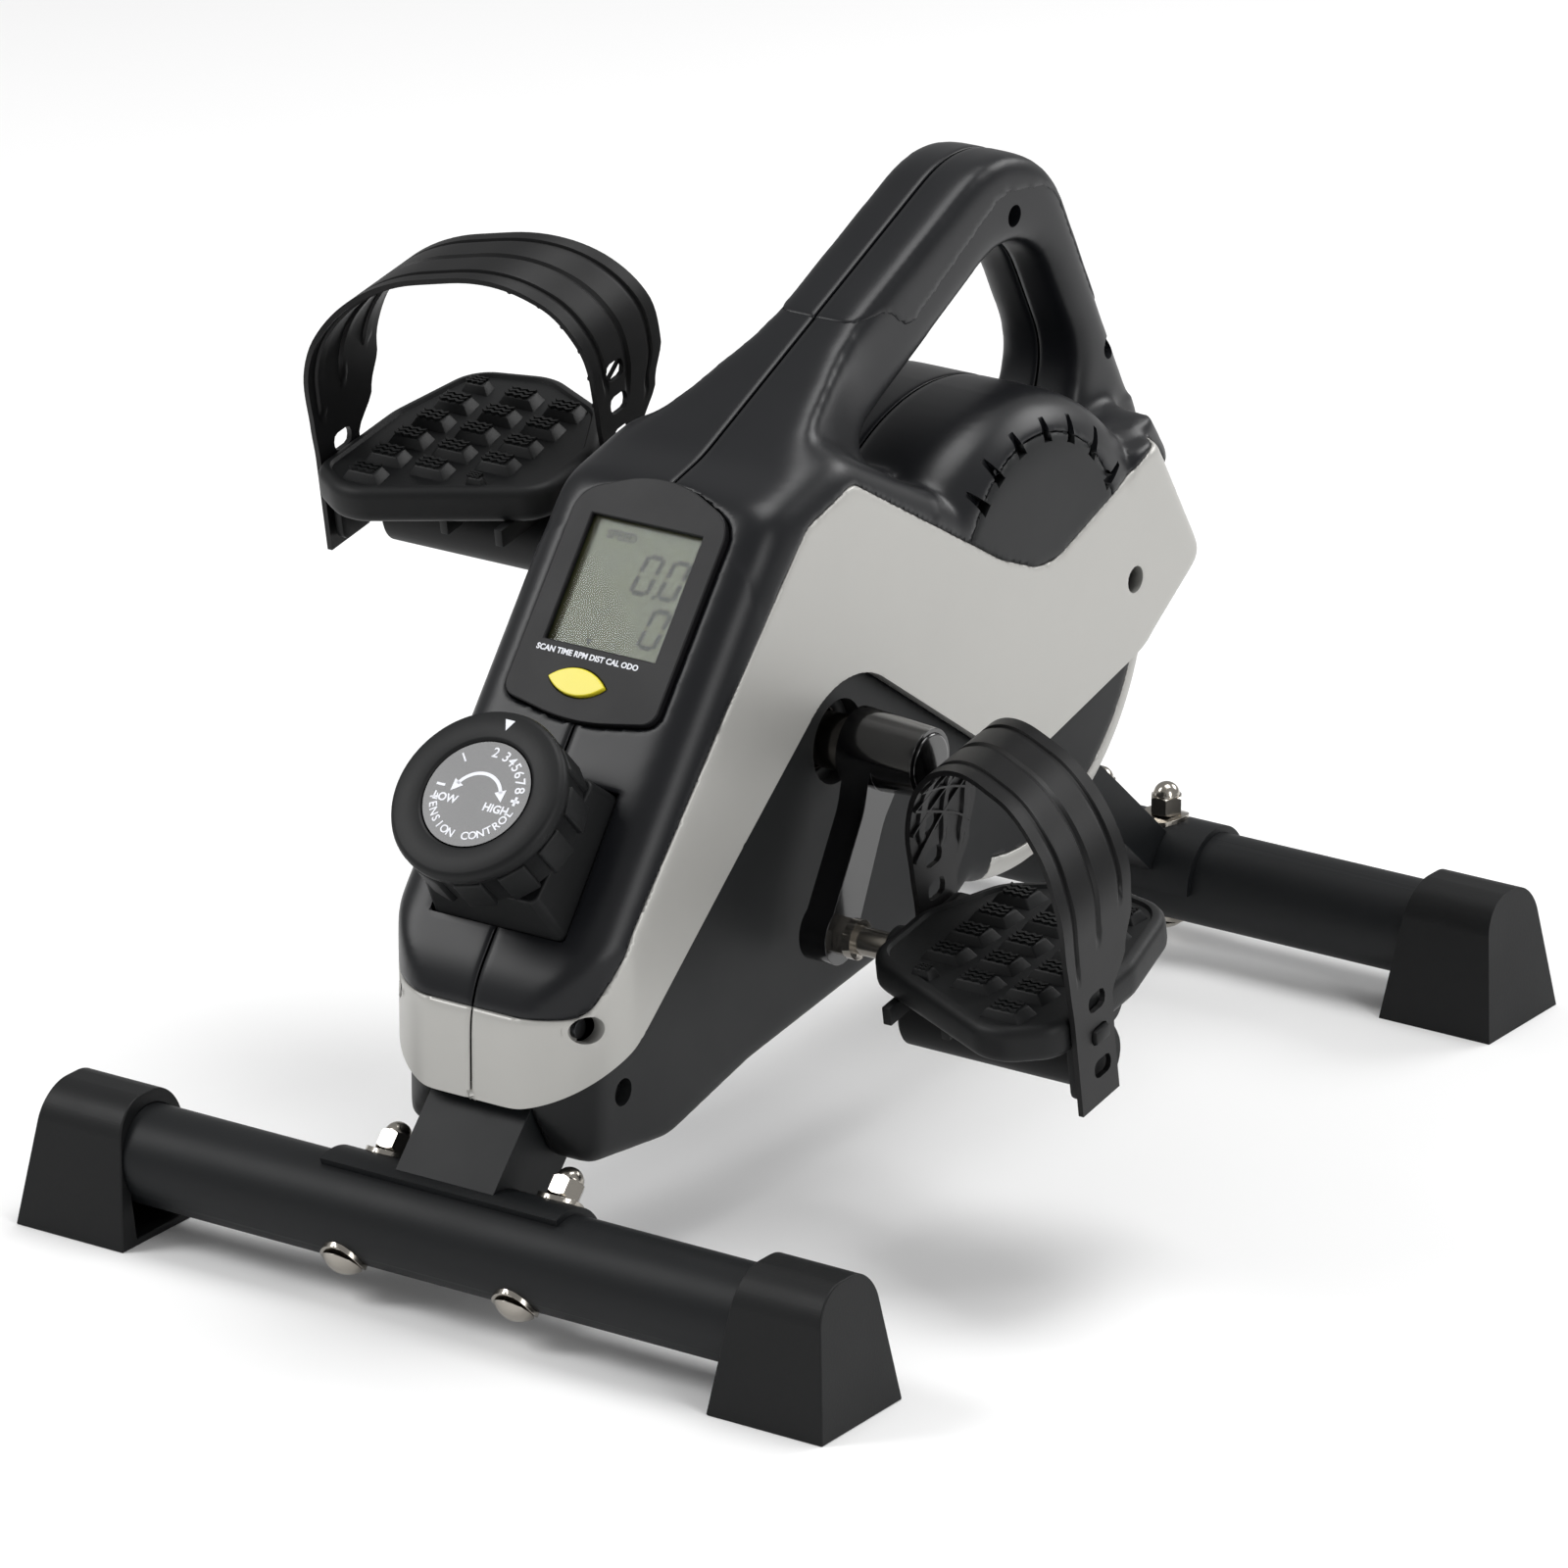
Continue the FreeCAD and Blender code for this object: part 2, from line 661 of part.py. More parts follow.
def magnet_bracket():
    """Channel that carries the brake magnets round the flywheel's rim, on its pivot."""
    low = flywheel_x - 6.0
    high = flywheel_x + 6.0
    inner = flywheel_radius + shoe_gap + 4.0
    shoe = ring(inner + 3.0, inner, low, high, wheel_y, wheel_z)
    fan = [(wheel_y, wheel_z)]
    for offset in (-24, -8, 8, 19):
        fan.append(polar(140, shoe_angle + offset))
    shoe = shoe.common(side_prism(fan, low, high))
    eye = rod(pin_radius + 3.5, low, high, pin_y, pin_z)
    arm = side_prism([(pin_y - 4, pin_z + 2), polar(inner + 2.5, shoe_angle - 20),
                      polar(inner + 2.5, shoe_angle - 8), (pin_y + 4, pin_z - 2)], low, high)
    lever = side_prism([(pin_y - 2, pin_z - 5), (pin_y + 3, pin_z - 4), (pin_y - 1, pin_z - 18),
                        (pin_y - 7, pin_z - 18)], low + 3, high - 3)
    bracket = fuse([shoe, eye, arm, lever])
    bracket = bracket.cut(rod(flywheel_radius + shoe_gap + 4.0, low - 1, high + 1, wheel_y, wheel_z))
    return bracket.cut(rod(pin_radius + running_gap, low - 1, high + 1, pin_y, pin_z))


def brake_magnets():
    """Three magnet blocks glued inside the channel."""
    blocks = []
    for offset in (-16, -2, 12):
        centre = shoe_angle + offset
        base = flywheel_radius + shoe_gap
        block = box((flywheel_x - 5, base, -6), (flywheel_x + 5, base + 3.6, 6))
        block.rotate(Vector(0, 0, 0), X_AXIS, centre)
        block.translate(Vector(0, wheel_y, wheel_z))
        blocks.append(block)
    return Part.makeCompound(blocks)


def make_drive():
    save(crank_axle(), "crank_axle")
    arm = crank_arm()
    save(arm, "crank_arm_right")
    save(turn_half(arm), "crank_arm_left")
    cap = end_cap()
    save(Part.makeCompound([cap, turn_half(cap)]), "crank_end_caps")
    spindle = pedal_spindle()
    save(Part.makeCompound([spindle, turn_half(spindle)]), "pedal_spindles")
    bearing = ring(bearing_radius, crank_axle_radius + running_gap, bearing_low + 0.2,
                   bearing_low + bearing_width, crank_y, crank_z)
    save(both_sides(bearing), "crank_bearings")
    save(drive_pulley(), "drive_pulley")
    magnet = rod(3.0, magnet_x - 1.8, magnet_x + 0.8, magnet_y, magnet_z)
    save(magnet, "pulley_magnet")
    save(drive_belt(), "drive_belt")
    save(flywheel(), "flywheel")
    save(flywheel_pulley(), "flywheel_pulley")
    save(flywheel_bearings(), "flywheel_bearings")
    save(flywheel_axle(), "flywheel_axle")
    save(flywheel_nuts(), "flywheel_nuts")
    save(magnet_bracket(), "magnet_bracket")
    save(brake_magnets(), "brake_magnets")
    pin = rod(pin_radius, -neck_half_width - plate_wall, neck_half_width + plate_wall, pin_y, pin_z)
    save(pin, "bracket_pin")


# ------------------------------------------------------------------------- pedals
platform_corners = [(0.0, -27, 16), (80, -62, 22), (104, -46, 14), (104, 10, 30), (94, 56, 20),
                    (56, 64, 24), (18, 46, 22), (0.0, 12, 20)]
bearing_tube_radius = 10.0
strap_rear = -bearing_tube_radius - 1.0
strap_side = [(-38, -31, 4), (strap_rear, -31, 4), (strap_rear, 18, 10), (18, 34, 12), (20, 66, 30),
              (14, 104), (-36, 104), (-43, 62, 30), (-42, 34, 8), (-38, 22, 8)]
tab_front = -37.0
tab_rear = -9.0


def pedal_body():
    """Right-hand pedal about its spindle: platform, bearing tube and strap tabs."""
    low = platform_top - platform_wall
    corners = [(pedal_inner_x + c[0], c[1], c[2]) for c in platform_corners]
    slab = plan_prism(corners, low, platform_top)
    under = plan_prism(inset(corners, 3.0), low - 1, platform_top - 5.0)
    tread = plan_prism(inset(corners, 3.5), platform_top - 1.5, platform_top + 3)
    body = slab.cut(under).cut(tread)
    tube = rod(bearing_tube_radius, pedal_inner_x - 5, pedal_outer_x - 6)
    rib = box((pedal_inner_x + 2, -8.5, -2), (pedal_outer_x - 4, 8.5, platform_top - 4))
    pieces = [body, tube, rib]
    for face, sign in ((pedal_inner_x, 1), (pedal_outer_x, -1)):
        shift = strap_skew if sign > 0 else 0.0
        inner = face + sign * 4.0
        near, far = min(face, inner), max(face, inner)
        pieces.append(box((near, tab_front + shift, -26), (far, tab_rear + shift, platform_top - 6)))
        outer = face - sign * (strap_gap + strap_wall + 2.4)
        near, far = min(face, outer), max(face, outer)
        pieces.append(box((near, -28 + shift, -3.0), (far, -18 + shift, 3.0)))
    pieces.append(box((pedal_inner_x, tab_front + strap_skew, low),
                      (pedal_inner_x + 26, tab_rear + strap_skew, platform_top - 6)))
    body = fuse(pieces)
    return body.cut(rod(spindle_radius + running_gap, 0, pedal_outer_x - 10))


def pedal_weight():
    """Ballast barrel under the platform, which keeps the tread upright."""
    barrel = rod(weight_radius, pedal_inner_x + 4.3, pedal_outer_x - 9, -4.0, -weight_radius - 10.3)
    return barrel.makeChamfer(1.5, [e for e in barrel.Edges if e.BoundBox.XLength < 1e-6])


def skewed_prism(corners, low_x, high_x):
    """Prism from an outline in (y, z) that drifts along Y as the strap crosses the foot."""
    slope = strap_skew / (pedal_outer_x - pedal_inner_x)
    shift = slope * (pedal_outer_x - low_x)
    wire = rounded_wire(corners, lambda p: Vector(low_x, p.x + shift, p.y))
    return Part.Face(wire).extrude(Vector(high_x - low_x, -slope * (high_x - low_x), 0))


def pedal_strap():
    """One moulded strap over the foot, with slots that hook on the pegs."""
    outside = [(pedal_inner_x - strap_gap - strap_wall, -31), (pedal_inner_x - strap_gap - strap_wall,
               strap_height, 46), (pedal_outer_x + strap_gap + strap_wall, strap_height + 4, 52),
               (pedal_outer_x + strap_gap + strap_wall, -31)]
    band = front_prism(outside, -60, strap_skew + 50)
    hollow = [(pedal_inner_x - strap_gap, -40), (pedal_inner_x - strap_gap,
              strap_height - strap_wall, 46 - strap_wall),
              (pedal_outer_x + strap_gap, strap_height + 4 - strap_wall, 52 - strap_wall),
              (pedal_outer_x + strap_gap, -40)]
    band = band.cut(front_prism(hollow, -61, strap_skew + 51))
    band = band.common(skewed_prism(strap_side, pedal_inner_x - 10, pedal_outer_x + 10))
    slots = []
    for face, shift in ((pedal_inner_x, strap_skew), (pedal_outer_x, 0.0)):
        rear = shift - 29.0
        front = shift - 17.0
        for step in (-1, 0, 1):
            z = step * slot_pitch
            slots.append(side_prism([(rear, z - 4.0, 3.5), (front, z - 4.0, 3.5),
                                     (front, z + 4.0, 3.5), (rear, z + 4.0, 3.5)], face - 6, face + 6))
    return band.cut(Part.makeCompound(slots))


def place_pedal(shape, left):
    """Set a right-hand pedal piece on its spindle, tilted as the ballast holds it."""
    piece = lean(shape, pedal_tilt, 0, 0)
    if left:
        piece = mirror_x(piece)
        piece.translate(Vector(0, 2 * crank_y - spindle_y, 2 * crank_z - spindle_z))
    else:
        piece.translate(Vector(0, spindle_y, spindle_z))
    return piece


def make_pedals():
    body = pedal_body()
    weight = pedal_weight()
    strap = pedal_strap()
    for side, left in (("right", False), ("left", True)):
        save(place_pedal(body, left), "pedal_body_%s" % side)
        save(place_pedal(weight, left), "pedal_weight_%s" % side)
        save(place_pedal(strap, left), "pedal_strap_%s" % side)


# ------------------------------------------------------------------------- casing
front_block = [(-241, 40, 20), (-241, 131, 45), (-104, 305, 20), (-52, 318, 24),
               (90, 242, 20), (90, 40, 20)]
tail_block = [(60, 250, 8), (184, 258, 8), (223, 196, 9), (172, 162, 9), (60, 140, 8)]
lower_block = [(-236, 200, 9), (-236, 87, 12), (-220, 60, 12), (-165, 54, 25), (-108, 68, 40),
               (60, 92, 20), (60, 235, 20), (-60, 245, 20)]
handle_outline = [(-98, 250, 4), (-98, 301, 6), (138, 409.6, 60), (222, 252, 12), (216, 206, 8),
                  (90, 200, 8)]
hand_hole = [(7, 300, 5), (133, 366, 40), (176, 290, 30), (160, 240, 3), (100, 250), (18, 286)]
nose_plan = [(-58, 240), (-58, -243, 50), (58, -243, 50), (58, 240)]
lower_nose_plan = [(-58, 240), (-58, -238, 54), (58, -238, 54), (58, 240)]
handle_plan = [(-46, -120), (-46, -84, 20), (-handle_half_width, 4, 60), (-handle_half_width, 240),
               (handle_half_width, 240), (handle_half_width, 4, 60), (46, -84, 20), (46, -120)]
silver_region = [(-262, 125), (-226, 126, 12), (-205, 158, 25), (-140, 233, 60), (-84, 293, 20),
                 (-49, 303, 12), (60, 239, 28), (96, 224, 40), (186, 257.5, 2), (240, 205), (240, 150),
                 (178, 169, 6), (78, 142.7, 45), (-55, 232, 45), (-129, 172, 60), (-200, 112.9, 25),
                 (-262, 73.5)]
black_region = [(-262, 125), (-226, 126, 12), (-205, 158, 25), (-140, 233, 60), (-84, 293, 20),
                (-49, 303, 12), (60, 239, 28), (96, 224, 40), (186, 257.5, 2), (240, 205), (240, 450),
                (-262, 450)]
dark_region = [(240, 150), (178, 169, 6), (78, 142.7, 45), (-55, 232, 45), (-129, 172, 60),
               (-200, 112.9, 25), (-262, 73.5), (-262, 30), (240, 30)]
ring_region = [(240, 153), (178, 172), (wheel_y, wheel_z), (60, 60), (240, 60)]
ring_inner = 93.0


def drum(half_width, wall, rounding):
    """Round housing of the flywheel, with rolled edges."""
    half = half_width - wall
    cylinder = rod(drum_radius - wall, -half, half, wheel_y, wheel_z)
    return round_sides(cylinder, half, rounding - wall)


def upper_mass(wall):
    """Outer form of the upper casing, moved in by the wall, with no hand hole."""
    half = casing_half_width - wall
    front = round_sides(side_prism(inset(front_block, wall), -half, half), half, edge_round - wall)
    front = front.common(plan_prism(inset(nose_plan, wall), 0, 400))
    tail = round_sides(side_prism(inset(tail_block, wall), -half, half), half, 5 - wall)
    grip = side_prism(inset(handle_outline, wall), -60, 60)
    grip = grip.common(plan_prism(inset(handle_plan, wall), 100, 450))
    return fuse([front, tail, drum(casing_half_width, wall, edge_round), grip])


def hole_mass(wall):
    """Form taken out of the casing for the hand, leaving the drum below it."""
    cut = side_prism(inset(hand_hole, -wall), -70, 70)
    return cut.cut(drum(casing_half_width, wall, edge_round))


def lower_mass(wall):
    """Outer form of the lower casing, moved in by the wall."""
    half = lower_half_width - wall
    block = round_sides(side_prism(inset(lower_block, wall), -half, half), half, 8 - wall)
    block = block.common(plan_prism(inset(lower_nose_plan, wall), 0, 400))
    return fuse([block, drum(lower_half_width, wall, 12.0)])


def cut_half(shape, sign):
    """The half of a casing piece on one side of the middle plane."""
    if sign > 0:
        return shape.common(box((seam_gap, -400, -10), (100, 400, 600)))
    return shape.common(box((-100, -400, -10), (-seam_gap, 400, 600)))


def screw_boss(shape, limits, y, z, sign):
    """Add a recessed screw boss to a casing half."""
    low, high = sorted((sign * (stud_high + 0.2), sign * 70.0))
    boss = rod(boss_radius, low, high, y, z).common(limits)
    low, high = sorted((sign * (stud_high + 0.2 + boss_floor), sign * 75.0))
    recess = rod(screw_recess_radius, low, high, y, z)
    bore = rod(screw_radius + 0.3, -75, 75, y, z)
    return shape.fuse(boss).cut(recess).cut(bore).removeSplitter()


def stud_screw(y, z, sign):
    """Self-tapping screw from a casing boss into the frame plate's stud."""
    seat = stud_high + 0.2 + boss_floor
    head = rod(screw_head_radius, seat, seat + screw_head_height, y, z)
    shank = rod(screw_radius, neck_half_width + plate_wall, seat + 0.5, y, z)
    screw = head.fuse(shank).removeSplitter()
    return screw if sign > 0 else mirror_x(screw)


handle_screw_sites = [(121.0, 366.0), (197.0, 288.0)]
handle_screw_seat = 7.0


def handle_boss(shape, y, z, sign):
    """Screw boss inside the handle, recessed on the right half only."""
    low, high = sorted((sign * seam_gap, sign * (handle_half_width - 1.0)))
    boss = rod(boss_radius - 1.5, low, high, y, z).common(grip_limits)
    shape = shape.fuse(boss)
    if sign > 0:
        shape = shape.cut(rod(screw_recess_radius - 1, handle_screw_seat, 40, y, z))
        return shape.cut(rod(screw_radius + 0.3, -1, 40, y, z)).removeSplitter()
    return shape.cut(rod(screw_radius + running_gap, -9, 1, y, z)).removeSplitter()


def handle_screw(y, z):
    head = rod(screw_head_radius, handle_screw_seat, handle_screw_seat + screw_head_height, y, z)
    return head.fuse(rod(screw_radius, -8, handle_screw_seat + 0.5, y, z)).removeSplitter()


def vent_zone(gap):
    """Window for the vent panel, between the side panel's edge and the drum's roll."""
    disc = rod(vent_radius - gap, casing_half_width - casing_wall - 0.5, casing_half_width + 1,
               wheel_y, wheel_z)
    return disc.common(side_prism(inset(black_region, 4.0 + gap), 0, 70))


def vent_panel():
    """Right-hand vent grille: a plate with a fan of slots under the drum's edge."""
    plate = vent_zone(2 * seam_gap).common(
        box((casing_half_width - casing_wall, -400, 0), (casing_half_width - 0.4, 400, 500)))
    slots = []
    for i in range(8):
        slot = side_prism([(66, -2.0, 1.9), (82, -2.0, 1.9), (82, 2.0, 1.9), (66, 2.0, 1.9)], 40, 70)
        slot.rotate(Vector(0, 0, 0), X_AXIS, 48 + 12 * i)
        slot.translate(Vector(0, wheel_y, wheel_z))
        slots.append(slot)
    return plate.cut(Part.makeCompound(slots))


def crank_recess(sign):
    """Moulded cup in the lower shell round the crank axle."""
    floor = collar_low - 3.0
    low, high = sorted((sign * floor, sign * lower_half_width))
    cup = ring(recess_radius + 2.0, recess_radius, low, high, crank_y, crank_z)
    low, high = sorted((sign * floor, sign * (floor + 2.0)))
    base = ring(recess_radius + 1.0, crank_axle_radius + 5.0, low, high, crank_y, crank_z)
    return cup.fuse(base)


def casing_parts():
    """Casing zones before they are split into left and right halves."""
    outer = upper_mass(0.0)
    skin = outer.cut(upper_mass(casing_wall))
    hole = hole_mass(0.0)
    wider = hole_mass(casing_wall)
    skin = skin.cut(wider).fuse(wider.cut(hole).common(outer))
    low_outer = lower_mass(0.0)
    low_skin = low_outer.cut(lower_mass(casing_wall))

    black = skin.common(side_prism(inset(black_region, seam_gap), -70, 70))
    black = black.cut(console_block(console_gap)).cut(base_block(console_gap))
    silver_zone = side_prism(inset(silver_region, seam_gap), -70, 70)
    band = inset(silver_region, seam_gap + casing_wall)
    ledge = silver_zone.cut(side_prism(band, -80, 80)).common(outer)
    inside = lower_half_width + seam_gap
    ledge = ledge.cut(box((-inside, -400, 0), (inside, 400, 400)))
    silver = skin.common(silver_zone).fuse(ledge)
    sector = side_prism(inset(ring_region, seam_gap), -70, 70)
    rear_ring = low_skin.common(sector).cut(rod(ring_inner, -70, 70, wheel_y, wheel_z))
    outside = side_prism(inset(ring_region, -seam_gap), -70, 70).cut(
        rod(ring_inner - 2 * seam_gap, -70, 70, wheel_y, wheel_z))
    dark = low_skin.common(side_prism(inset(dark_region, seam_gap), -70, 70)).cut(outside)
    dark_limits = low_outer.common(side_prism(inset(dark_region, seam_gap), -70, 70))
    return outer.common(silver_zone), dark_limits, black, silver, rear_ring, dark


def make_casing():
    silver_limits, dark_limits, black, silver, rear_ring, dark = casing_parts()
    neck_room = sloped_bar(neck_depth + 2 * frame_clearance, neck_half_width + frame_clearance, 10,
                           neck_length + frame_clearance, neck_angle, -tube_half_spacing)
    post_room = sloped_bar(post_depth + 2 * frame_clearance, neck_half_width + frame_clearance, 10,
                           post_reach + frame_clearance, 180 - post_angle, tube_half_spacing)
    screws = []
    vent = vent_panel()
    save(vent, "vent_panel_right")
    save(mirror_x(vent), "vent_panel_left")
    for side, sign in (("right", 1), ("left", -1)):
        shell = cut_half(black, sign)
        window = vent_zone(0.0)
        shell = shell.cut(window if sign > 0 else mirror_x(window))
        for y, z in handle_screw_sites:
            shell = handle_boss(shell, y, z, sign)
        save(shell, "upper_shell_%s" % side)
        panel = cut_half(silver, sign)
        for y, z in (stud_sites[0], stud_sites[2]):
            panel = screw_boss(panel, silver_limits, y, z, sign)
        panel = panel.fuse(cut_half(rear_ring, sign)).cut(neck_room).cut(post_room)
        save(panel.removeSplitter(), "side_panel_%s" % side)
        lower = cut_half(dark, sign).cut(rod(recess_radius + 1.0, -60, 60, crank_y, crank_z))
        lower = lower.fuse(crank_recess(sign)).cut(neck_room).cut(post_room)
        lower = screw_boss(lower, dark_limits, stud_sites[1][0], stud_sites[1][1], sign)
        save(lower, "lower_shell_%s" % side)
        for y, z in stud_sites:
            screws.append(stud_screw(y, z, sign))
    for y, z in handle_screw_sites:
        screws.append(handle_screw(y, z))
    save(Part.makeCompound(screws), "casing_screws")


# ------------------------------------------------------------------------ console
bezel_corners = [(-37, -53, 7), (0, -60, 90), (37, -53, 7), (37, 36, 14), (0, 52, 50), (-37, 36, 14)]


def on_console(shape):
    """Lay a piece made in (x, up the face, outwards) on the console's slope."""
    copy = shape.copy()
    copy.rotate(Vector(0, 0, 0), X_AXIS, 90 - console_tilt)
    copy.translate(Vector(0, lcd_y, lcd_z))
    return copy


def face_prism(corners, low, high):
    """Prism on the console's face, from one depth to another."""
    return on_console(plan_prism(corners, low, high))


def console_block(gap):
    return face_prism(inset(bezel_corners, -gap), -30, 30)


def button_outline(gap):
    """Pointed ellipse made of two arcs."""
    a = button_width / 2 - gap
    b = button_height / 2 - gap
    centre = Vector(button_x, -button_drop, 0)
    left, right = centre + Vector(-a, 0, 0), centre + Vector(a, 0, 0)
    upper = Part.Arc(left, centre + Vector(0, b, 0), right).toShape()
    lower = Part.Arc(right, centre + Vector(0, -b, 0), left).toShape()
    return Part.Face(Part.Wire([upper, lower]))


def button_prism(gap, low, high):
    face = button_outline(gap)
    face.translate(Vector(0, 0, low))
    return on_console(face.extrude(Vector(0, 0, high - low)))


def display_box(margin, low, high):
    """Rectangle round the display, grown by a margin."""
    half_width = lcd_width / 2 + margin
    half_height = lcd_height / 2 + margin
    return on_console(box((-half_width, -half_height, low), (half_width, half_height, high)))


def base_frame(shape):
    """Set a piece made about +Z, with its front at zero, on the knob's axis."""
    copy = shape.copy()
    copy.rotate(Vector(0, 0, 0), X_AXIS, 90 - knob_tilt)
    copy.translate(Vector(0, knob_y, knob_z))
    return copy


def base_block(gap):
    """Drafted square block that carries the knob."""
    wires = []
    for depth in (base_front, base_front + base_depth):
        half = base_half + base_draft * (depth - base_front) / base_depth + gap
        square = [(-half, -half, 4), (half, -half, 4), (half, half, 4), (-half, half, 4)]
        wires.append(rounded_wire(square, lambda p, d=depth: Vector(p.x, p.y, -d)))
    return base_frame(Part.makeLoft(wires, True, True))


def knob():
    """Round grip with a scalloped side, turning on the base's boss."""
    outer = upright_rod(knob_radius, -knob_depth, 0)
    rims = [e for e in outer.Edges if e.BoundBox.ZLength < 1e-6 and e.BoundBox.ZMax > -1e-6]
    outer = outer.makeFillet(2.5, rims)
    scallops = []
    for i in range(10):
        angle = math.radians(36 * i + 18)
        centre = Vector((knob_radius + 9.2) * math.cos(angle), (knob_radius + 9.2) * math.sin(angle),
                        -knob_depth - 1)
        scallops.append(Part.makeCylinder(11.0, knob_depth - 6.0, centre, Z_AXIS))
    body = outer.cut(Part.makeCompound(scallops))
    body = body.cut(upright_rod(dial_radius + dial_gap, -dial_depth - running_clearance, 1))
    return base_frame(body.cut(upright_rod(knob_boss_radius + running_gap, -60, 1)))


def cable_path(points):
    """Straight runs joined by arcs as large as the shorter run allows."""
    edges = []
    start = points[0]
    for i in range(1, len(points) - 1):
        back = points[i - 1] - points[i]
        ahead = points[i + 1] - points[i]
        reach = 0.45 * min(back.Length, ahead.Length)
        back.normalize()
        ahead.normalize()
        half = back.getAngle(ahead) / 2
        radius = reach * math.tan(half)
        middle = points[i] + (back + ahead).normalize() * (radius / math.sin(half) - radius)
        first = points[i] + back * reach
        last = points[i] + ahead * reach
        edges.append(Part.LineSegment(start, first).toShape())
        edges.append(Part.Arc(first, middle, last).toShape())
        print("bend radius %.1f" % radius)
        start = last
    edges.append(Part.LineSegment(start, points[-1]).toShape())
    return Part.Wire(edges)


def round_cord(points, radius):
    """Round cord along a path; its volume is compared with section times length."""
    path = cable_path(points)
    direction = points[1] - points[0]
    circle = Part.Wire([Part.makeCircle(radius, points[0], direction)])
    cord = path.makePipe(Part.Face(circle))
    print("cord volume %.0f against %.0f" % (cord.Volume, math.pi * radius ** 2 * path.Length))
    return cord


def sensor_lead():
    face = face_point(8.0, -33.0, -bezel_depth + 0.4)
    return round_cord([Vector(21, magnet_y - 9.5, magnet_z), Vector(21, magnet_y - 24, magnet_z),
                       Vector(17, magnet_y - 40, magnet_z + 46), face], 1.5)


def face_point(x, up, out):
    """A point given on the console's face."""
    tilt = math.radians(console_tilt)
    return Vector(x, lcd_y + up * math.sin(tilt) - out * math.cos(tilt),
                  lcd_z + up * math.cos(tilt) + out * math.sin(tilt))


def make_console():
    front = bezel_proud
    bezel = face_prism(bezel_corners, -bezel_depth, front)
    tray = face_prism(inset(bezel_corners, bezel_wall), -bezel_depth - 1, front - bezel_lip)
    bezel = bezel.cut(tray).cut(display_box(0, -20, 20)).cut(button_prism(0, -20, 20))
    save(bezel, "console_bezel")
    lip = front - bezel_lip
    save(display_box(2.0, lip - 1.4, lip - 0.1), "display_window")
    save(display_box(1.0, lip - 3.6, lip - 1.5), "lcd_panel")
    board = on_console(box((-32, -50, lip - 5.4), (32, 34, lip - 3.8)))
    save(board, "console_circuit_board")
    cells = []
    for up in (-10.0, 6.0):
        cell = rod(cell_radius, -cell_length / 2, cell_length / 2)
        cell.translate(Vector(0, up, lip - 5.7 - cell_radius))
        cells.append(on_console(cell))
    save(Part.makeCompound(cells), "console_batteries")
    button = button_prism(button_gap, lip - 1.0, front + 1.6)
    flange = button_prism(-1.0, lip - 2.0, lip - 0.15)
    save(button.fuse(flange).removeSplitter(), "mode_button")


def make_knob():
    boss = base_frame(upright_rod(knob_boss_radius, -base_front - 2, -dial_depth))
    block = base_block(0.0).fuse(boss).removeSplitter()
    save(block, "knob_base")
    save(knob(), "tension_knob")
    save(base_frame(upright_rod(dial_radius, -dial_depth, -0.8)), "dial_disc")
    tilt = math.radians(knob_tilt)
    inwards = Vector(0, math.cos(tilt), -math.sin(tilt))
    start = Vector(0, knob_y, knob_z) + inwards * (base_front + base_depth + 0.2)
    lever = Vector(flywheel_x, pin_y - 11.0, pin_z - 11.0)
    points = [start, start + inwards * 18, Vector(-6, -158, 171), Vector(flywheel_x, -100, 152),
              Vector(flywheel_x, -48, 134), lever]
    save(round_cord(points, cable_radius), "tension_cable")


def make_sensor():
    low = magnet_x + 1.8
    block = box((low, magnet_y - 9, magnet_z - 6), (neck_half_width, magnet_y + 9, magnet_z + 6))
    save(block, "speed_sensor")
    save(sensor_lead(), "sensor_lead")


grip_limits = side_prism(inset(handle_outline, 0.5), -60, 60).common(
    plan_prism(inset(handle_plan, 0.5), 100, 450))
make_casing()
make_console()
make_knob()
make_sensor()
make_frame(make_stabilisers())
make_drive()
make_pedals()
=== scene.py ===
"""Visual model of a pedal exerciser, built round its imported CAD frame.

Lengths in this file are millimetres until a piece is finished, when its mesh is
scaled to the frame's metres.
"""
import json
import logging
import math
import sys
from dataclasses import dataclass, field
from enum import Enum
from typing import Callable, Iterable, Optional, Sequence

import bmesh
import bpy
from mathutils import Matrix, Vector


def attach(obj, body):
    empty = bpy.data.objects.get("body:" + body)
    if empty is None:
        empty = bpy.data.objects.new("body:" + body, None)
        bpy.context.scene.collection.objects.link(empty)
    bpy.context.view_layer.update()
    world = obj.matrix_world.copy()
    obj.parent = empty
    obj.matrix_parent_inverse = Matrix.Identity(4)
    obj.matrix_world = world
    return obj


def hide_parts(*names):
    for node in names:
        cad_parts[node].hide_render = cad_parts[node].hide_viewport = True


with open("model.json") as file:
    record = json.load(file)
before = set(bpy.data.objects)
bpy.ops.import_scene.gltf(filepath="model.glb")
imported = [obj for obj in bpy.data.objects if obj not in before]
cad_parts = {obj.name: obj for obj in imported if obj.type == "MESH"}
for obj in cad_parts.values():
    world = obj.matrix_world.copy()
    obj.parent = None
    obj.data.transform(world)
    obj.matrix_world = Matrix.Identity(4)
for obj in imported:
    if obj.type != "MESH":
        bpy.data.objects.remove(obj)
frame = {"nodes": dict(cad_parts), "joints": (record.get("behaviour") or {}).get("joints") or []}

LOG = logging.getLogger("pedal_exerciser")
MM = 0.001
BASE = "base"
SKIN = ".skin"
# Y and Z of the crank's axis.
CRANK_PLACE = (-48.0, 190.0)
Corner = tuple
Outline = list


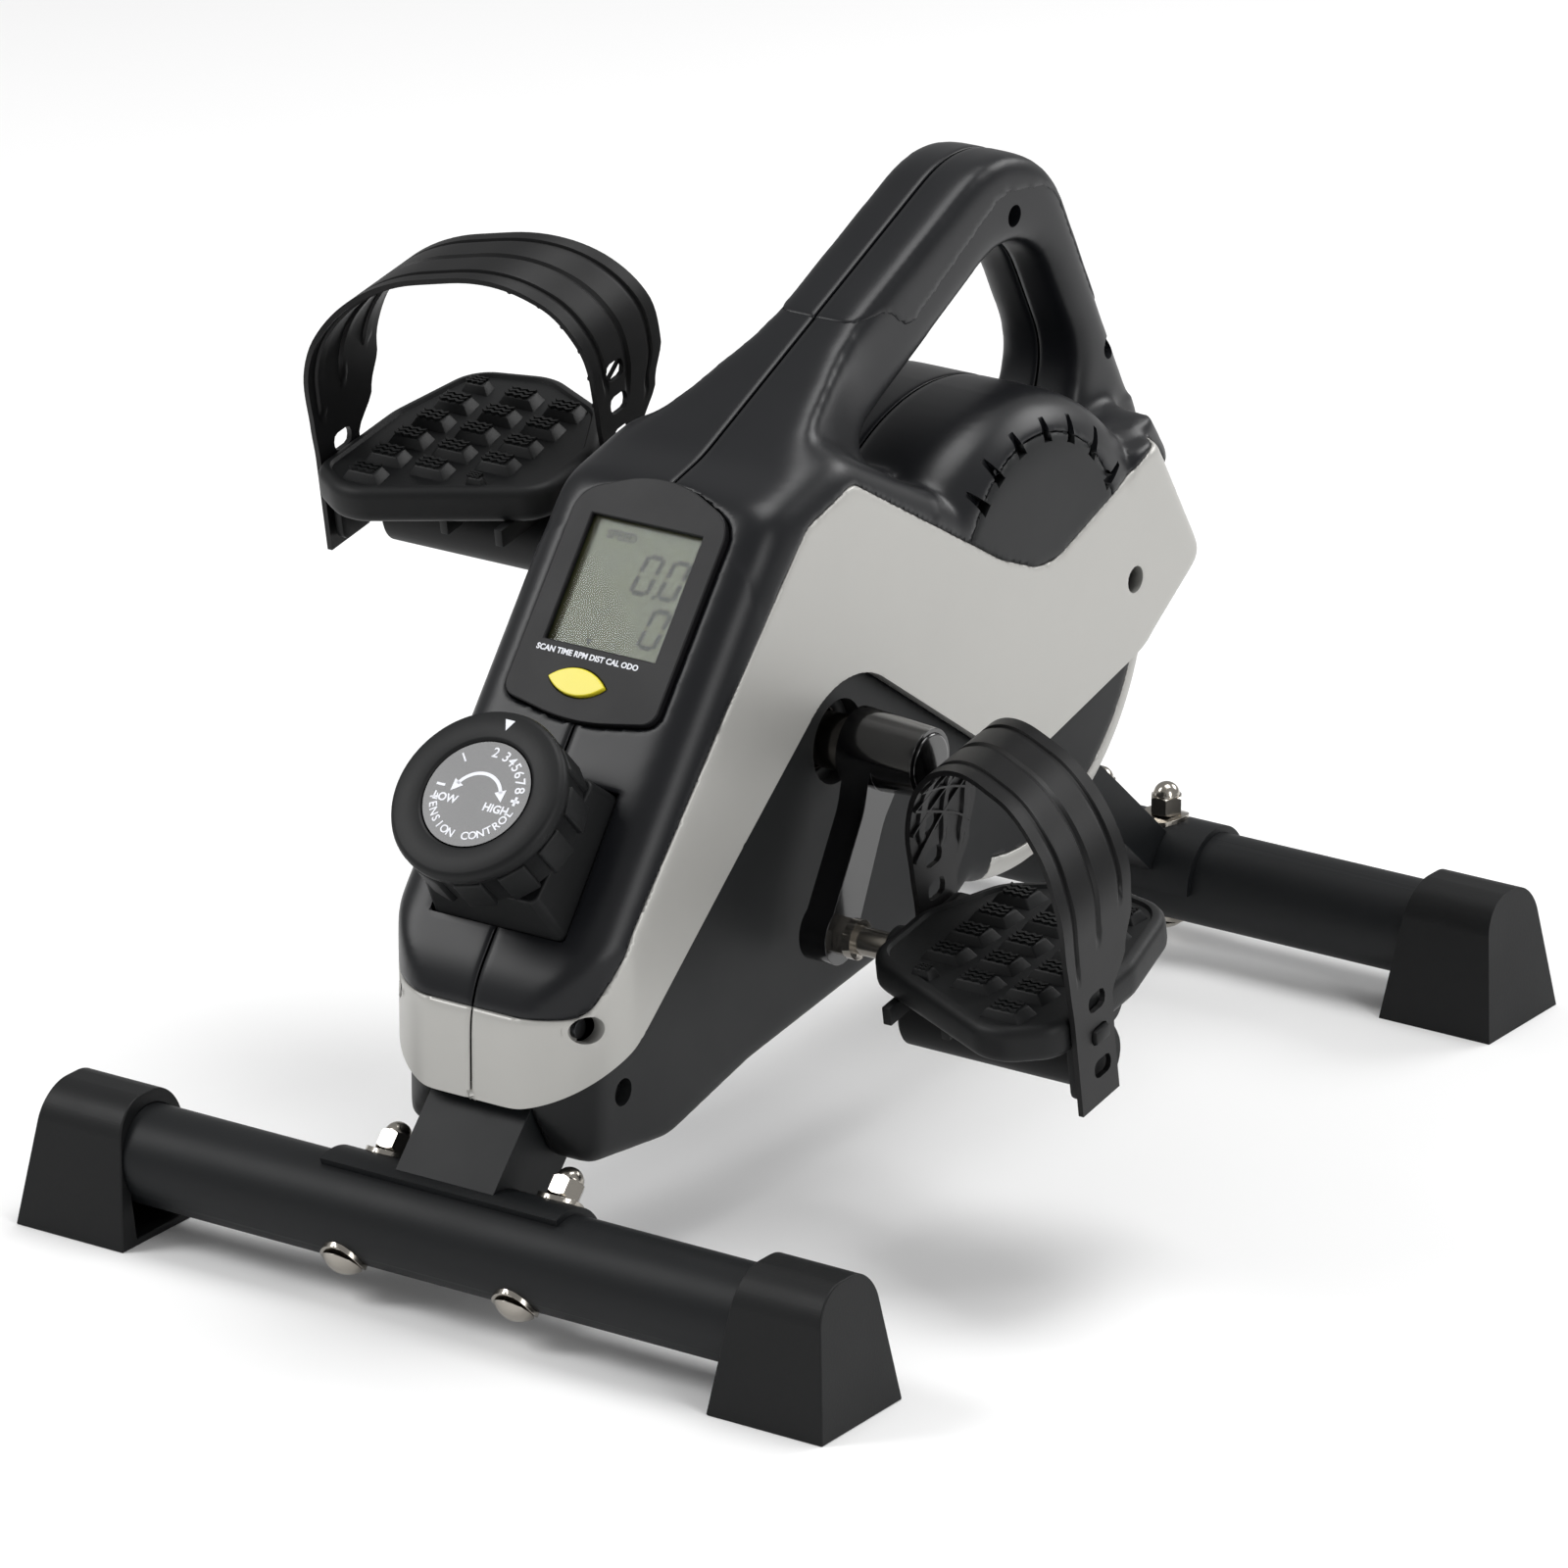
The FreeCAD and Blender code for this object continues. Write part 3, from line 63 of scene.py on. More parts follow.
class Cut(Enum):
    """What becomes of the faces that a cutting shape leaves on a body."""

    KEEP = 0
    DROP = 1


class Solver(Enum):
    """Blender's solid cutters: the exact one keeps material marks, the other bears creases."""

    EXACT = "EXACT"
    MANIFOLD = "MANIFOLD"


class Side(Enum):
    """The two sides of the machine, by the sign of X."""

    RIGHT = 1
    LEFT = -1

    @property
    def word(self) -> str:
        """The side's name in lower case."""
        return self.name.lower()

    def reach(self, near: float, far: float) -> tuple:
        """Lowest and highest x of a stretch on this side.

        Args:
            near: distance of its inner end from the middle.
            far: distance of its outer end.

        Returns:
            The two x values, the lower one first.
        """
        return tuple(sorted((self.value * near, self.value * far)))


# --------------------------------------------------------------------- materials
def linear(code: str) -> tuple:
    """Turn an sRGB hex colour into linear RGBA.

    Args:
        code: colour as "#rrggbb".

    Returns:
        Four linear values, the last being 1.
    """
    values = []
    for start in (1, 3, 5):
        value = int(code[start:start + 2], 16) / 255
        values.append(value / 12.92 if value <= 0.04045 else ((value + 0.055) / 1.055) ** 2.4)
    return (*values, 1.0)


def per_metre(size_mm: float) -> float:
    """Texture scale whose features are about the given size.

    Args:
        size_mm: size of one feature in millimetres.

    Returns:
        The scale for Object coordinates, which are metres.
    """
    return 1.0 / (size_mm * MM)


def add_node(tree: bpy.types.NodeTree, kind: str, settings: Optional[dict] = None,
             links: Optional[dict] = None) -> bpy.types.Node:
    """Add one shader node.

    Args:
        tree: node tree to add to.
        kind: Blender's type name for the node.
        settings: socket values by input name, or node properties by attribute name.
        links: output sockets by the input name that they feed.

    Returns:
        The new node.
    """
    node = tree.nodes.new(kind)
    for name, value in (settings or {}).items():
        if name in node.inputs:
            node.inputs[name].default_value = value
        else:
            setattr(node, name, value)
    for name, socket in (links or {}).items():
        tree.links.new(socket, node.inputs[name])
    return node


def bare_tree(owner: bpy.types.ID) -> bpy.types.NodeTree:
    """Empty node tree of a material or a world.

    Args:
        owner: material or world.

    Returns:
        Its node tree, with no nodes in it.
    """
    owner.use_nodes = True
    owner.node_tree.nodes.clear()
    return owner.node_tree


@dataclass(frozen=True)
class Finish:
    """A surface with grain, uneven gloss and a slight drift of colour.

    The pattern reads Object coordinates, so its scales are real sizes.
    """

    name: str
    colour: str
    slot: str
    roughness: float = 0.45
    metallic: float = 0.0
    grain_mm: float = 0.9
    grain_depth: float = 0.03
    gloss_spread: float = 0.08
    colour_spread: float = 0.12
    patch_mm: float = 45.0
    specular: float = 0.5
    coat: float = 0.0
    coat_roughness: float = 0.05
    anisotropic: float = 0.0
    stretch: tuple = (1.0, 1.0, 1.0)

    def build(self) -> bpy.types.Material:
        """Make the material once, and hand back the same one after that."""
        found = bpy.data.materials.get(self.name)
        if found:
            return found
        material = bpy.data.materials.new(self.name)
        tree = bare_tree(material)
        place = add_node(tree, "ShaderNodeTexCoord").outputs["Object"]
        place = add_node(tree, "ShaderNodeMapping", {"Scale": self.stretch},
                         {"Vector": place}).outputs["Vector"]
        fine = add_node(tree, "ShaderNodeTexNoise",
                        {"Scale": per_metre(self.grain_mm), "Detail": 3.0, "Roughness": 0.6},
                        {"Vector": place}).outputs["Fac"]
        patch = add_node(tree, "ShaderNodeTexNoise",
                         {"Scale": per_metre(self.patch_mm), "Detail": 4.0, "Roughness": 0.55},
                         {"Vector": place}).outputs["Fac"]
        colour = self.colour_socket(tree, patch)
        rough = add_node(tree, "ShaderNodeMapRange",
                         {"To Min": self.roughness - self.gloss_spread,
                          "To Max": self.roughness + self.gloss_spread},
                         {"Value": patch}).outputs["Result"]
        bump = add_node(tree, "ShaderNodeBump",
                        {"Strength": 1.0, "Distance": self.grain_depth * MM},
                        {"Height": fine}).outputs["Normal"]
        shader = add_node(tree, "ShaderNodeBsdfPrincipled",
                          {"Metallic": self.metallic, "Specular IOR Level": self.specular,
                           "Coat Weight": self.coat, "Coat Roughness": self.coat_roughness,
                           "Anisotropic": self.anisotropic},
                          {"Base Color": colour, "Roughness": rough, "Normal": bump})
        add_node(tree, "ShaderNodeOutputMaterial", {}, {"Surface": shader.outputs["BSDF"]})
        return material

    def colour_socket(self, tree: bpy.types.NodeTree,
                      patch: bpy.types.NodeSocket) -> bpy.types.NodeSocket:
        """Base colour, drifting a little between darker and lighter patches.

        Args:
            tree: the material's nodes.
            patch: output of the coarse noise.

        Returns:
            The colour's output socket.
        """
        base = linear(self.colour)
        low = tuple(v * (1 - self.colour_spread) for v in base[:3]) + (1.0,)
        high = tuple(min(1.0, v * (1 + self.colour_spread)) for v in base[:3]) + (1.0,)
        mix = add_node(tree, "ShaderNodeMix", {"data_type": "RGBA", "A": low, "B": high},
                       {"Factor": patch})
        return mix.outputs["Result"]


# Injection-moulded ABS: dyed through, satin, with a fine spark-eroded grain.
SHELL_BLACK = Finish("satin black ABS", "#101114", "shell_black", 0.36, grain_mm=0.8,
                     grain_depth=0.012, gloss_spread=0.05, specular=0.30)
# Painted ABS: metallic silver lacquer with tiny flakes under a satin clear coat.
PANEL_SILVER = Finish("silver lacquered ABS", "#b3b2ae", "panel_silver", 0.42, metallic=0.35,
                      grain_mm=0.5, grain_depth=0.006, gloss_spread=0.05, colour_spread=0.05)
# Matt moulded ABS of the lower casing, a shade lighter than the upper one.
SHELL_GREY = Finish("matt grey-black ABS", "#1b1c1d", "shell_grey", 0.50, grain_mm=0.9,
                    grain_depth=0.02, specular=0.25)
# Polypropylene with a coarse leathery grain: feet, knob, pedals.
GRAINED_PP = Finish("grained black polypropylene", "#0e0f10", "moulded_black", 0.50, grain_mm=1.1,
                    grain_depth=0.05, gloss_spread=0.08, specular=0.25)
# Bezel plastic, duller and more grainy than the casing.
BEZEL_BLACK = Finish("fine-grained black bezel ABS", "#0f0f11", "shell_black", 0.48, grain_mm=0.7,
                     grain_depth=0.035, specular=0.28)
# Powder coat baked on steel: orange-peel ripple about a millimetre across.
POWDER_COAT = Finish("black powder-coated steel", "#0e1012", "powder_black", 0.50, grain_mm=1.6,
                     grain_depth=0.03, gloss_spread=0.06, specular=0.25)
# Stoved gloss lacquer on the forged arms: almost a mirror, with soft ripples.
GLOSS_LACQUER = Finish("gloss black stoved lacquer", "#060607", "crank_black", 0.13, grain_mm=7.0,
                       grain_depth=0.03, gloss_spread=0.04, coat=0.6)
# Flexible TPE of the straps: soft sheen, smooth.
STRAP_TPE = Finish("black thermoplastic elastomer", "#0b0b0c", "strap_rubber", 0.42, grain_mm=1.0,
                   grain_depth=0.015, gloss_spread=0.08, specular=0.28)
# Nickel-plated steel: acorn nuts, washers, bolt heads, spindle hexagons.
NICKEL = Finish("nickel-plated steel", "#a9a49c", "bright_steel", 0.20, metallic=1.0, grain_mm=1.2,
                grain_depth=0.01, gloss_spread=0.07, colour_spread=0.08)
# Zinc-flake dark plated steel of spindles and screws.
DARK_STEEL = Finish("dark plated steel", "#3a3b3d", "bright_steel", 0.30, metallic=1.0,
                    grain_mm=1.0, grain_depth=0.012)
# Grey iron casting, turned at its rim.
GREY_IRON = Finish("turned grey iron", "#55565a", "iron", 0.42, metallic=1.0, grain_mm=0.9,
                   grain_depth=0.03, stretch=(6.0, 1.0, 1.0))
# Cast filler of the pedal's ballast tube, in a matt plastic sleeve.
BALLAST = Finish("matt black ballast sleeve", "#0e0f10", "weight_black", 0.55, grain_mm=0.9,
                 grain_depth=0.03, specular=0.25)
# Button: glossy yellow polypropylene.
BUTTON_YELLOW = Finish("glossy yellow polypropylene", "#e3d531", "button_yellow", 0.30,
                       grain_mm=1.5, grain_depth=0.008, gloss_spread=0.04, colour_spread=0.05)
# Dial plate: smooth printed film.
DIAL_FILM = Finish("gloss black dial film", "#0c0d12", "board", 0.22, grain_mm=4.0,
                   grain_depth=0.01, gloss_spread=0.03)
# Pad-printed white ink with slightly uneven cover.
WHITE_INK = Finish("white pad-printing ink", "#e6e8ee", "board", 0.50, grain_mm=0.6,
                   grain_depth=0.01, colour_spread=0.05)
# Liquid-crystal segments that have turned dark.
SEGMENT_INK = Finish("dark liquid-crystal segment", "#14160f", "display", 0.40, grain_mm=0.6,
                     grain_depth=0.0)
# Glass-epoxy board with solder mask.
EPOXY_BOARD = Finish("green solder-masked epoxy", "#1f4a2e", "board", 0.35, grain_mm=2.0,
                     grain_depth=0.02, colour_spread=0.2)
# Cable sheath and belt rubber.
SHEATH = Finish("black sheath rubber", "#131314", "strap_rubber", 0.55, grain_mm=0.8,
                grain_depth=0.03)


@dataclass(frozen=True)
class ReflectiveDisplay(Finish):
    """Reflective liquid-crystal panel: olive grey, mottled by the glued rear film."""

    stops: tuple = ((0.3, "#3d3c28"), (0.72, "#525139"))

    def colour_socket(self, tree: bpy.types.NodeTree,
                      patch: bpy.types.NodeSocket) -> bpy.types.NodeSocket:
        """Olive ramp over soft mottling.

        Args:
            tree: the material's nodes.
            patch: output of the coarse noise.

        Returns:
            The colour's output socket.
        """
        ramp = add_node(tree, "ShaderNodeValToRGB", {}, {"Fac": patch})
        for element, (position, colour) in zip(ramp.color_ramp.elements, self.stops):
            element.position = position
            element.color = linear(colour)
        return ramp.outputs["Color"]


DISPLAY_PANEL = ReflectiveDisplay("reflective liquid-crystal panel", "#94947a", "display", 0.34,
                                  grain_mm=0.7, grain_depth=0.0, patch_mm=14.0)


@dataclass(frozen=True)
class ClearLens:
    """Clear acrylic pane: lets the display through and adds a thin gloss."""

    name: str = "clear acrylic window"
    slot: str = "lens"
    index: float = 1.12
    tint: tuple = (0.95, 0.97, 0.95, 1)
    roughness: tuple = (0.03, 0.08)
    haze_mm: float = 12.0

    def build(self) -> bpy.types.Material:
        """Make the pane's material once."""
        found = bpy.data.materials.get(self.name)
        if found:
            return found
        material = bpy.data.materials.new(self.name)
        tree = bare_tree(material)
        place = add_node(tree, "ShaderNodeTexCoord").outputs["Object"]
        haze = add_node(tree, "ShaderNodeTexNoise", {"Scale": per_metre(self.haze_mm)},
                        {"Vector": place})
        rough = add_node(tree, "ShaderNodeMapRange",
                         {"To Min": self.roughness[0], "To Max": self.roughness[1]},
                         {"Value": haze.outputs["Fac"]})
        gloss = add_node(tree, "ShaderNodeBsdfGlossy", {"Color": (1, 1, 1, 1)},
                         {"Roughness": rough.outputs["Result"]})
        clear = add_node(tree, "ShaderNodeBsdfTransparent", {"Color": self.tint})
        edge = add_node(tree, "ShaderNodeFresnel", {"IOR": self.index})
        both = add_node(tree, "ShaderNodeMixShader", {}, {"Fac": edge.outputs["Fac"]})
        tree.links.new(clear.outputs["BSDF"], both.inputs[1])
        tree.links.new(gloss.outputs["BSDF"], both.inputs[2])
        add_node(tree, "ShaderNodeOutputMaterial", {}, {"Surface": both.outputs["Shader"]})
        return material


LENS = ClearLens()


# ------------------------------------------------------------------ mesh workshop
def rounded(corners: Sequence[Corner], step_mm: float = 2.5) -> Outline:
    """Outline whose corners are rounded by arcs.

    Args:
        corners: points (a, b) or (a, b, radius), in order round the outline.
        step_mm: longest chord along an arc.

    Returns:
        Points of the outline as 2-D vectors.
    """
    points = []
    count = len(corners)
    for index, corner in enumerate(corners):
        here = Vector(corner[:2])
        radius = corner[2] if len(corner) > 2 else 0.0
        if radius <= 0:
            points.append(here)
            continue
        back = (Vector(corners[index - 1][:2]) - here).normalized()
        ahead = (Vector(corners[(index + 1) % count][:2]) - here).normalized()
        half = back.angle(ahead) / 2
        reach = radius / math.tan(half)
        centre = here + (back + ahead).normalized() * (radius / math.sin(half))
        first = here + back * reach - centre
        last = here + ahead * reach - centre
        turn = first.angle_signed(last)
        pieces = max(2, math.ceil(abs(turn) * radius / step_mm))
        for piece in range(pieces + 1):
            angle = turn * piece / pieces
            spin = Matrix.Rotation(-angle, 2)
            points.append(centre + spin @ first)
    return points


def offset_corners(corners: Sequence[Corner], grow: float) -> list:
    """Corners of a convex outline pushed outwards from its middle by a margin.

    Args:
        corners: points (a, b) or (a, b, radius).
        grow: the margin.

    Returns:
        The moved corners, with their radii as before.
    """
    middle = Vector((sum(c[0] for c in corners), sum(c[1] for c in corners))) / len(corners)
    moved = []
    for corner in corners:
        away = Vector(corner[:2]) - middle
        place = Vector(corner[:2]) + away.normalized() * grow
        moved.append((place.x, place.y, *corner[2:]))
    return moved


SIDE_PLANE = Matrix(((0, 0, 1, 0), (1, 0, 0, 0), (0, 1, 0, 0), (0, 0, 0, 1)))
FLOOR_PLANE = Matrix.Identity(4)


def round_edges(bm: bmesh.types.BMesh, edges: Sequence[bmesh.types.BMEdge], radius: float,
                segments: int, clamp: bool = False) -> None:
    """Round some edges of a bmesh.

    Args:
        bm: shape to change.
        edges: the edges.
        radius: radius in millimetres.
        segments: strips that the rounding is made of.
        clamp: whether the radius shrinks where there is no room.
    """
    bmesh.ops.bevel(bm, geom=edges, offset=radius, offset_type="OFFSET", segments=segments,
                    profile=0.5, affect="EDGES", clamp_overlap=clamp, material=-1)


def prism(outline: Outline, low: float, high: float, plane: Matrix = FLOOR_PLANE,
          round_mm: float = 0.0, segments: int = 5) -> bmesh.types.BMesh:
    """Prism over an outline, with its two rims rounded if asked.

    Args:
        outline: 2-D points in order.
        low: start of the depth.
        high: end of the depth.
        plane: matrix that lays (a, b, depth) in space.
        round_mm: radius of the rims.
        segments: bevel segments of the rims.

    Returns:
        A closed bmesh.
    """
    bm = bmesh.new()
    base = [bm.verts.new((p[0], p[1], low)) for p in outline]
    face = bm.faces.new(base)
    grown = bmesh.ops.extrude_face_region(bm, geom=[face])
    top = [v for v in grown["geom"] if isinstance(v, bmesh.types.BMVert)]
    bmesh.ops.translate(bm, verts=top, vec=(0, 0, high - low))
    if round_mm > 0:
        middle = (low + high) / 2
        rims = [e for e in bm.edges if (e.verts[0].co.z - middle) * (e.verts[1].co.z - middle) > 0]
        round_edges(bm, rims, round_mm, segments)
    bmesh.ops.transform(bm, matrix=plane, verts=bm.verts)
    bmesh.ops.recalc_face_normals(bm, faces=bm.faces)
    return bm


def barrel(radius: float, low: float, high: float, y: float, z: float, round_mm: float = 0.0,
           sides: int = 96, tip: Optional[float] = None) -> bmesh.types.BMesh:
    """Cylinder along X about (y, z), with rounded rims.

    Args:
        radius: radius at the low end.
        low: lowest x.
        high: highest x.
        y: axis position.
        z: axis position.
        round_mm: radius of both rims.
        sides: number of sides.
        tip: radius at the high end, if it differs.

    Returns:
        A closed bmesh.
    """
    bm = bmesh.new()
    bmesh.ops.create_cone(bm, cap_ends=True, segments=sides, radius1=radius,
                          radius2=radius if tip is None else tip, depth=high - low)
    if round_mm > 0:
        rims = [e for e in bm.edges if abs(e.verts[0].co.z - e.verts[1].co.z) < 1e-4]
        round_edges(bm, rims, round_mm, 5)
    place = Matrix.Translation(((low + high) / 2, y, z)) @ Matrix.Rotation(math.pi / 2, 4, "Y")
    bmesh.ops.transform(bm, matrix=place, verts=bm.verts)
    return bm


def block(low: Sequence[float], high: Sequence[float], round_mm: float = 0.0,
          segments: int = 2) -> bmesh.types.BMesh:
    """Box between two corners, with rounded edges.

    Args:
        low: its lowest corner.
        high: its highest corner.
        round_mm: radius of the edges.
        segments: strips that a rounding is made of.

    Returns:
        A closed bmesh.
    """
    bm = bmesh.new()
    bmesh.ops.create_cube(bm, size=1.0)
    size = [h - l for l, h in zip(low, high)]
    middle = [(h + l) / 2 for l, h in zip(low, high)]
    bmesh.ops.scale(bm, vec=size, verts=bm.verts)
    bmesh.ops.translate(bm, vec=middle, verts=bm.verts)
    if round_mm > 0:
        round_edges(bm, bm.edges[:], round_mm, segments, clamp=True)
    return bm


def joined(shapes: Iterable[bmesh.types.BMesh]) -> bmesh.types.BMesh:
    """One bmesh that holds several, which are freed.

    Args:
        shapes: the shapes to gather.

    Returns:
        The gathered shape, its pieces still apart.
    """
    whole = bmesh.new()
    for shape in shapes:
        mesh = bpy.data.meshes.new("part")
        shape.to_mesh(mesh)
        shape.free()
        whole.from_mesh(mesh)
        bpy.data.meshes.remove(mesh)
    return whole


def shape_of(mesh: bpy.types.Mesh) -> bmesh.types.BMesh:
    """Bmesh that copies a mesh.

    Args:
        mesh: mesh to copy.

    Returns:
        The copy.
    """
    bm = bmesh.new()
    bm.from_mesh(mesh)
    return bm


def placed(name: str, data: bpy.types.ID) -> bpy.types.Object:
    """New object in the scene.

    Args:
        name: its name.
        data: its mesh, curve, light or camera.

    Returns:
        The object.
    """
    thing = bpy.data.objects.new(name, data)
    bpy.context.scene.collection.objects.link(thing)
    return thing


def evaluated(thing: bpy.types.Object) -> bpy.types.Mesh:
    """Mesh of an object as its modifiers or its curve settings leave it.

    Args:
        thing: object to read.

    Returns:
        A new mesh.
    """
    graph = bpy.context.evaluated_depsgraph_get()
    return bpy.data.meshes.new_from_object(thing.evaluated_get(graph), depsgraph=graph)


def holder(name: str, bm: bmesh.types.BMesh) -> bpy.types.Object:
    """Working object in the scene round a bmesh, which is freed.

    Args:
        name: its name.
        bm: its shape.

    Returns:
        The object, with a material slot for each mark in Cut.
    """
    mesh = bpy.data.meshes.new(name)
    bm.to_mesh(mesh)
    bm.free()
    for label in ("keep", "drop"):
        mesh.materials.append(bpy.data.materials.get(label) or bpy.data.materials.new(label))
    return placed(name, mesh)


def discard(thing: bpy.types.Object) -> None:
    """Remove a working object and its mesh.

    Args:
        thing: the working object.
    """
    mesh = thing.data
    bpy.data.objects.remove(thing)
    bpy.data.meshes.remove(mesh)


def released(thing: bpy.types.Object) -> bmesh.types.BMesh:
    """Shape of a working object, which is removed.

    Args:
        thing: working object.

    Returns:
        Its shape.
    """
    shape = shape_of(thing.data)
    discard(thing)
    return shape


def settle(thing: bpy.types.Object) -> None:
    """Apply every modifier on an object to its mesh.

    Args:
        thing: working object to change.
    """
    mesh = evaluated(thing)
    thing.modifiers.clear()
    old = thing.data
    thing.data = mesh
    bpy.data.meshes.remove(old)


def carve(body: bpy.types.Object, tool: bmesh.types.BMesh, operation: str = "DIFFERENCE",
          cut: Cut = Cut.DROP, solver: Solver = Solver.EXACT) -> None:
    """Cut, join or trim a body with a closed shape, which is freed.

    Args:
        body: object to change.
        tool: closed shape.
        operation: DIFFERENCE, INTERSECT or UNION.
        cut: whether the faces that the tool leaves stay in the finished piece.
        solver: which cutter does the work.
    """
    bmesh.ops.recalc_face_normals(tool, faces=tool.faces)
    for face in tool.faces:
        face.material_index = cut.value
    cutter = holder("cutter", tool)
    modifier = body.modifiers.new("cut", "BOOLEAN")
    modifier.operation = operation
    modifier.solver = solver.value
    modifier.object = cutter
    settle(body)
    discard(cutter)


def remesh(body: bpy.types.Object, voxel_mm: float) -> None:
    """Turn overlapping closed shapes into one even skin of quads.

    Args:
        body: working object to change.
        voxel_mm: size of the grid.
    """
    modifier = body.modifiers.new("even", "REMESH")
    modifier.mode = "VOXEL"
    modifier.voxel_size = voxel_mm
    settle(body)


def relax(body: bpy.types.Object, rounds: int,
          where: Optional[Callable[[Vector], bool]] = None) -> None:
    """Smooth a skin, all over or only where a test holds.

    Args:
        body: working object.
        rounds: how often it is smoothed.
        where: test on a point's place; None means everywhere.
    """
    bm = shape_of(body.data)
    verts = [v for v in bm.verts if where is None or where(v.co)]
    for _ in range(rounds):
        bmesh.ops.smooth_vert(bm, verts=verts, factor=0.5, use_axis_x=True, use_axis_y=True,
                              use_axis_z=True)
    bm.to_mesh(body.data)
    bm.free()


def duplicate(body: bpy.types.Object, name: str) -> bpy.types.Object:
    """Working copy of an object with its own mesh.

    Args:
        body: object to copy.
        name: the copy's name.

    Returns:
        The copy.
    """
    return placed(name, body.data.copy())


def dressed(name: str, bm: bmesh.types.BMesh, finish: Finish, body: str = BASE,
            stands_for: Sequence[str] = (), sharp_deg: float = 35.0,
            recalc: bool = True) -> bpy.types.Object:
    """Finish a piece: metres, normals, shading, material, body and CAD nodes.

    Args:
        name: the piece's name.
        bm: its mesh in millimetres, which is freed.
        finish: its material.
        body: the CAD body that it rides on.
        stands_for: CAD nodes that it replaces.
        sharp_deg: edges sharper than this stay crisp.
        recalc: whether its normals are worked out again.

    Returns:
        The finished object.
    """
    bmesh.ops.remove_doubles(bm, verts=bm.verts, dist=1e-4)
    if recalc:
        bmesh.ops.recalc_face_normals(bm, faces=bm.faces)
    bmesh.ops.scale(bm, vec=(MM, MM, MM), verts=bm.verts)
    for face in bm.faces:
        face.material_index = 0
        face.smooth = True
    mesh = bpy.data.meshes.new(name)
    bm.to_mesh(mesh)
    bm.free()
    mesh.materials.append(finish.build())
    mesh.set_sharp_from_angle(angle=math.radians(sharp_deg))
    thing = placed(name, mesh)
    if stands_for:
        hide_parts(*stands_for)
    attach(thing, body)
    LOG.info("made %s: %d faces", name, len(mesh.polygons))
    return thing


def node_copy(node: str) -> bmesh.types.BMesh:
    """Merged copy of a CAD node's mesh, in millimetres.

    Args:
        node: CAD node.

    Returns:
        Its shape, with points that coincide merged and flat faces made whole.
    """
    bm = shape_of(frame["nodes"][node].data)
    bmesh.ops.scale(bm, vec=(1 / MM, 1 / MM, 1 / MM), verts=bm.verts)
    bmesh.ops.remove_doubles(bm, verts=bm.verts, dist=2e-3)
    bmesh.ops.dissolve_limit(bm, angle_limit=math.radians(0.6), verts=bm.verts, edges=bm.edges)
    return bm


def softened(node: str, finish: Finish, body: str, round_mm: float, segments: int = 3,
             limit_deg: float = 28.0) -> bpy.types.Object:
    """Stand-in for a CAD node with its sharp edges rounded as a mould leaves them.

    Args:
        node: CAD node.
        finish: its material.
        body: CAD body.
        round_mm: edge radius.
        segments: bevel segments.
        limit_deg: edges sharper than this are rounded.

    Returns:
        The finished object.
    """
    thing = dressed(node + SKIN, node_copy(node), finish, body, [node], sharp_deg=30)
    bevel = thing.modifiers.new("round", "BEVEL")
    bevel.width = round_mm * MM
    bevel.segments = segments
    bevel.limit_method = "ANGLE"
    bevel.angle_limit = math.radians(limit_deg)
    bevel.harden_normals = True
    return thing


def dress_node(node: str, finish: Finish) -> None:
    """Give a CAD node, kept as it is, its material.

    Args:
        node: CAD node.
        finish: its material.
    """
    thing = frame["nodes"][node]
    thing.data.materials.clear()
    thing.data.materials.append(finish.build())


def joint_place(name: str) -> Vector:
    """Place of a hinge in millimetres, from the frame's record.

    Args:
        name: the joint's name.

    Returns:
        Its place.
    """
    for joint in frame["joints"]:
        if joint["name"] == name:
            return Vector(joint["pos_m"]) / MM
    raise KeyError(name)


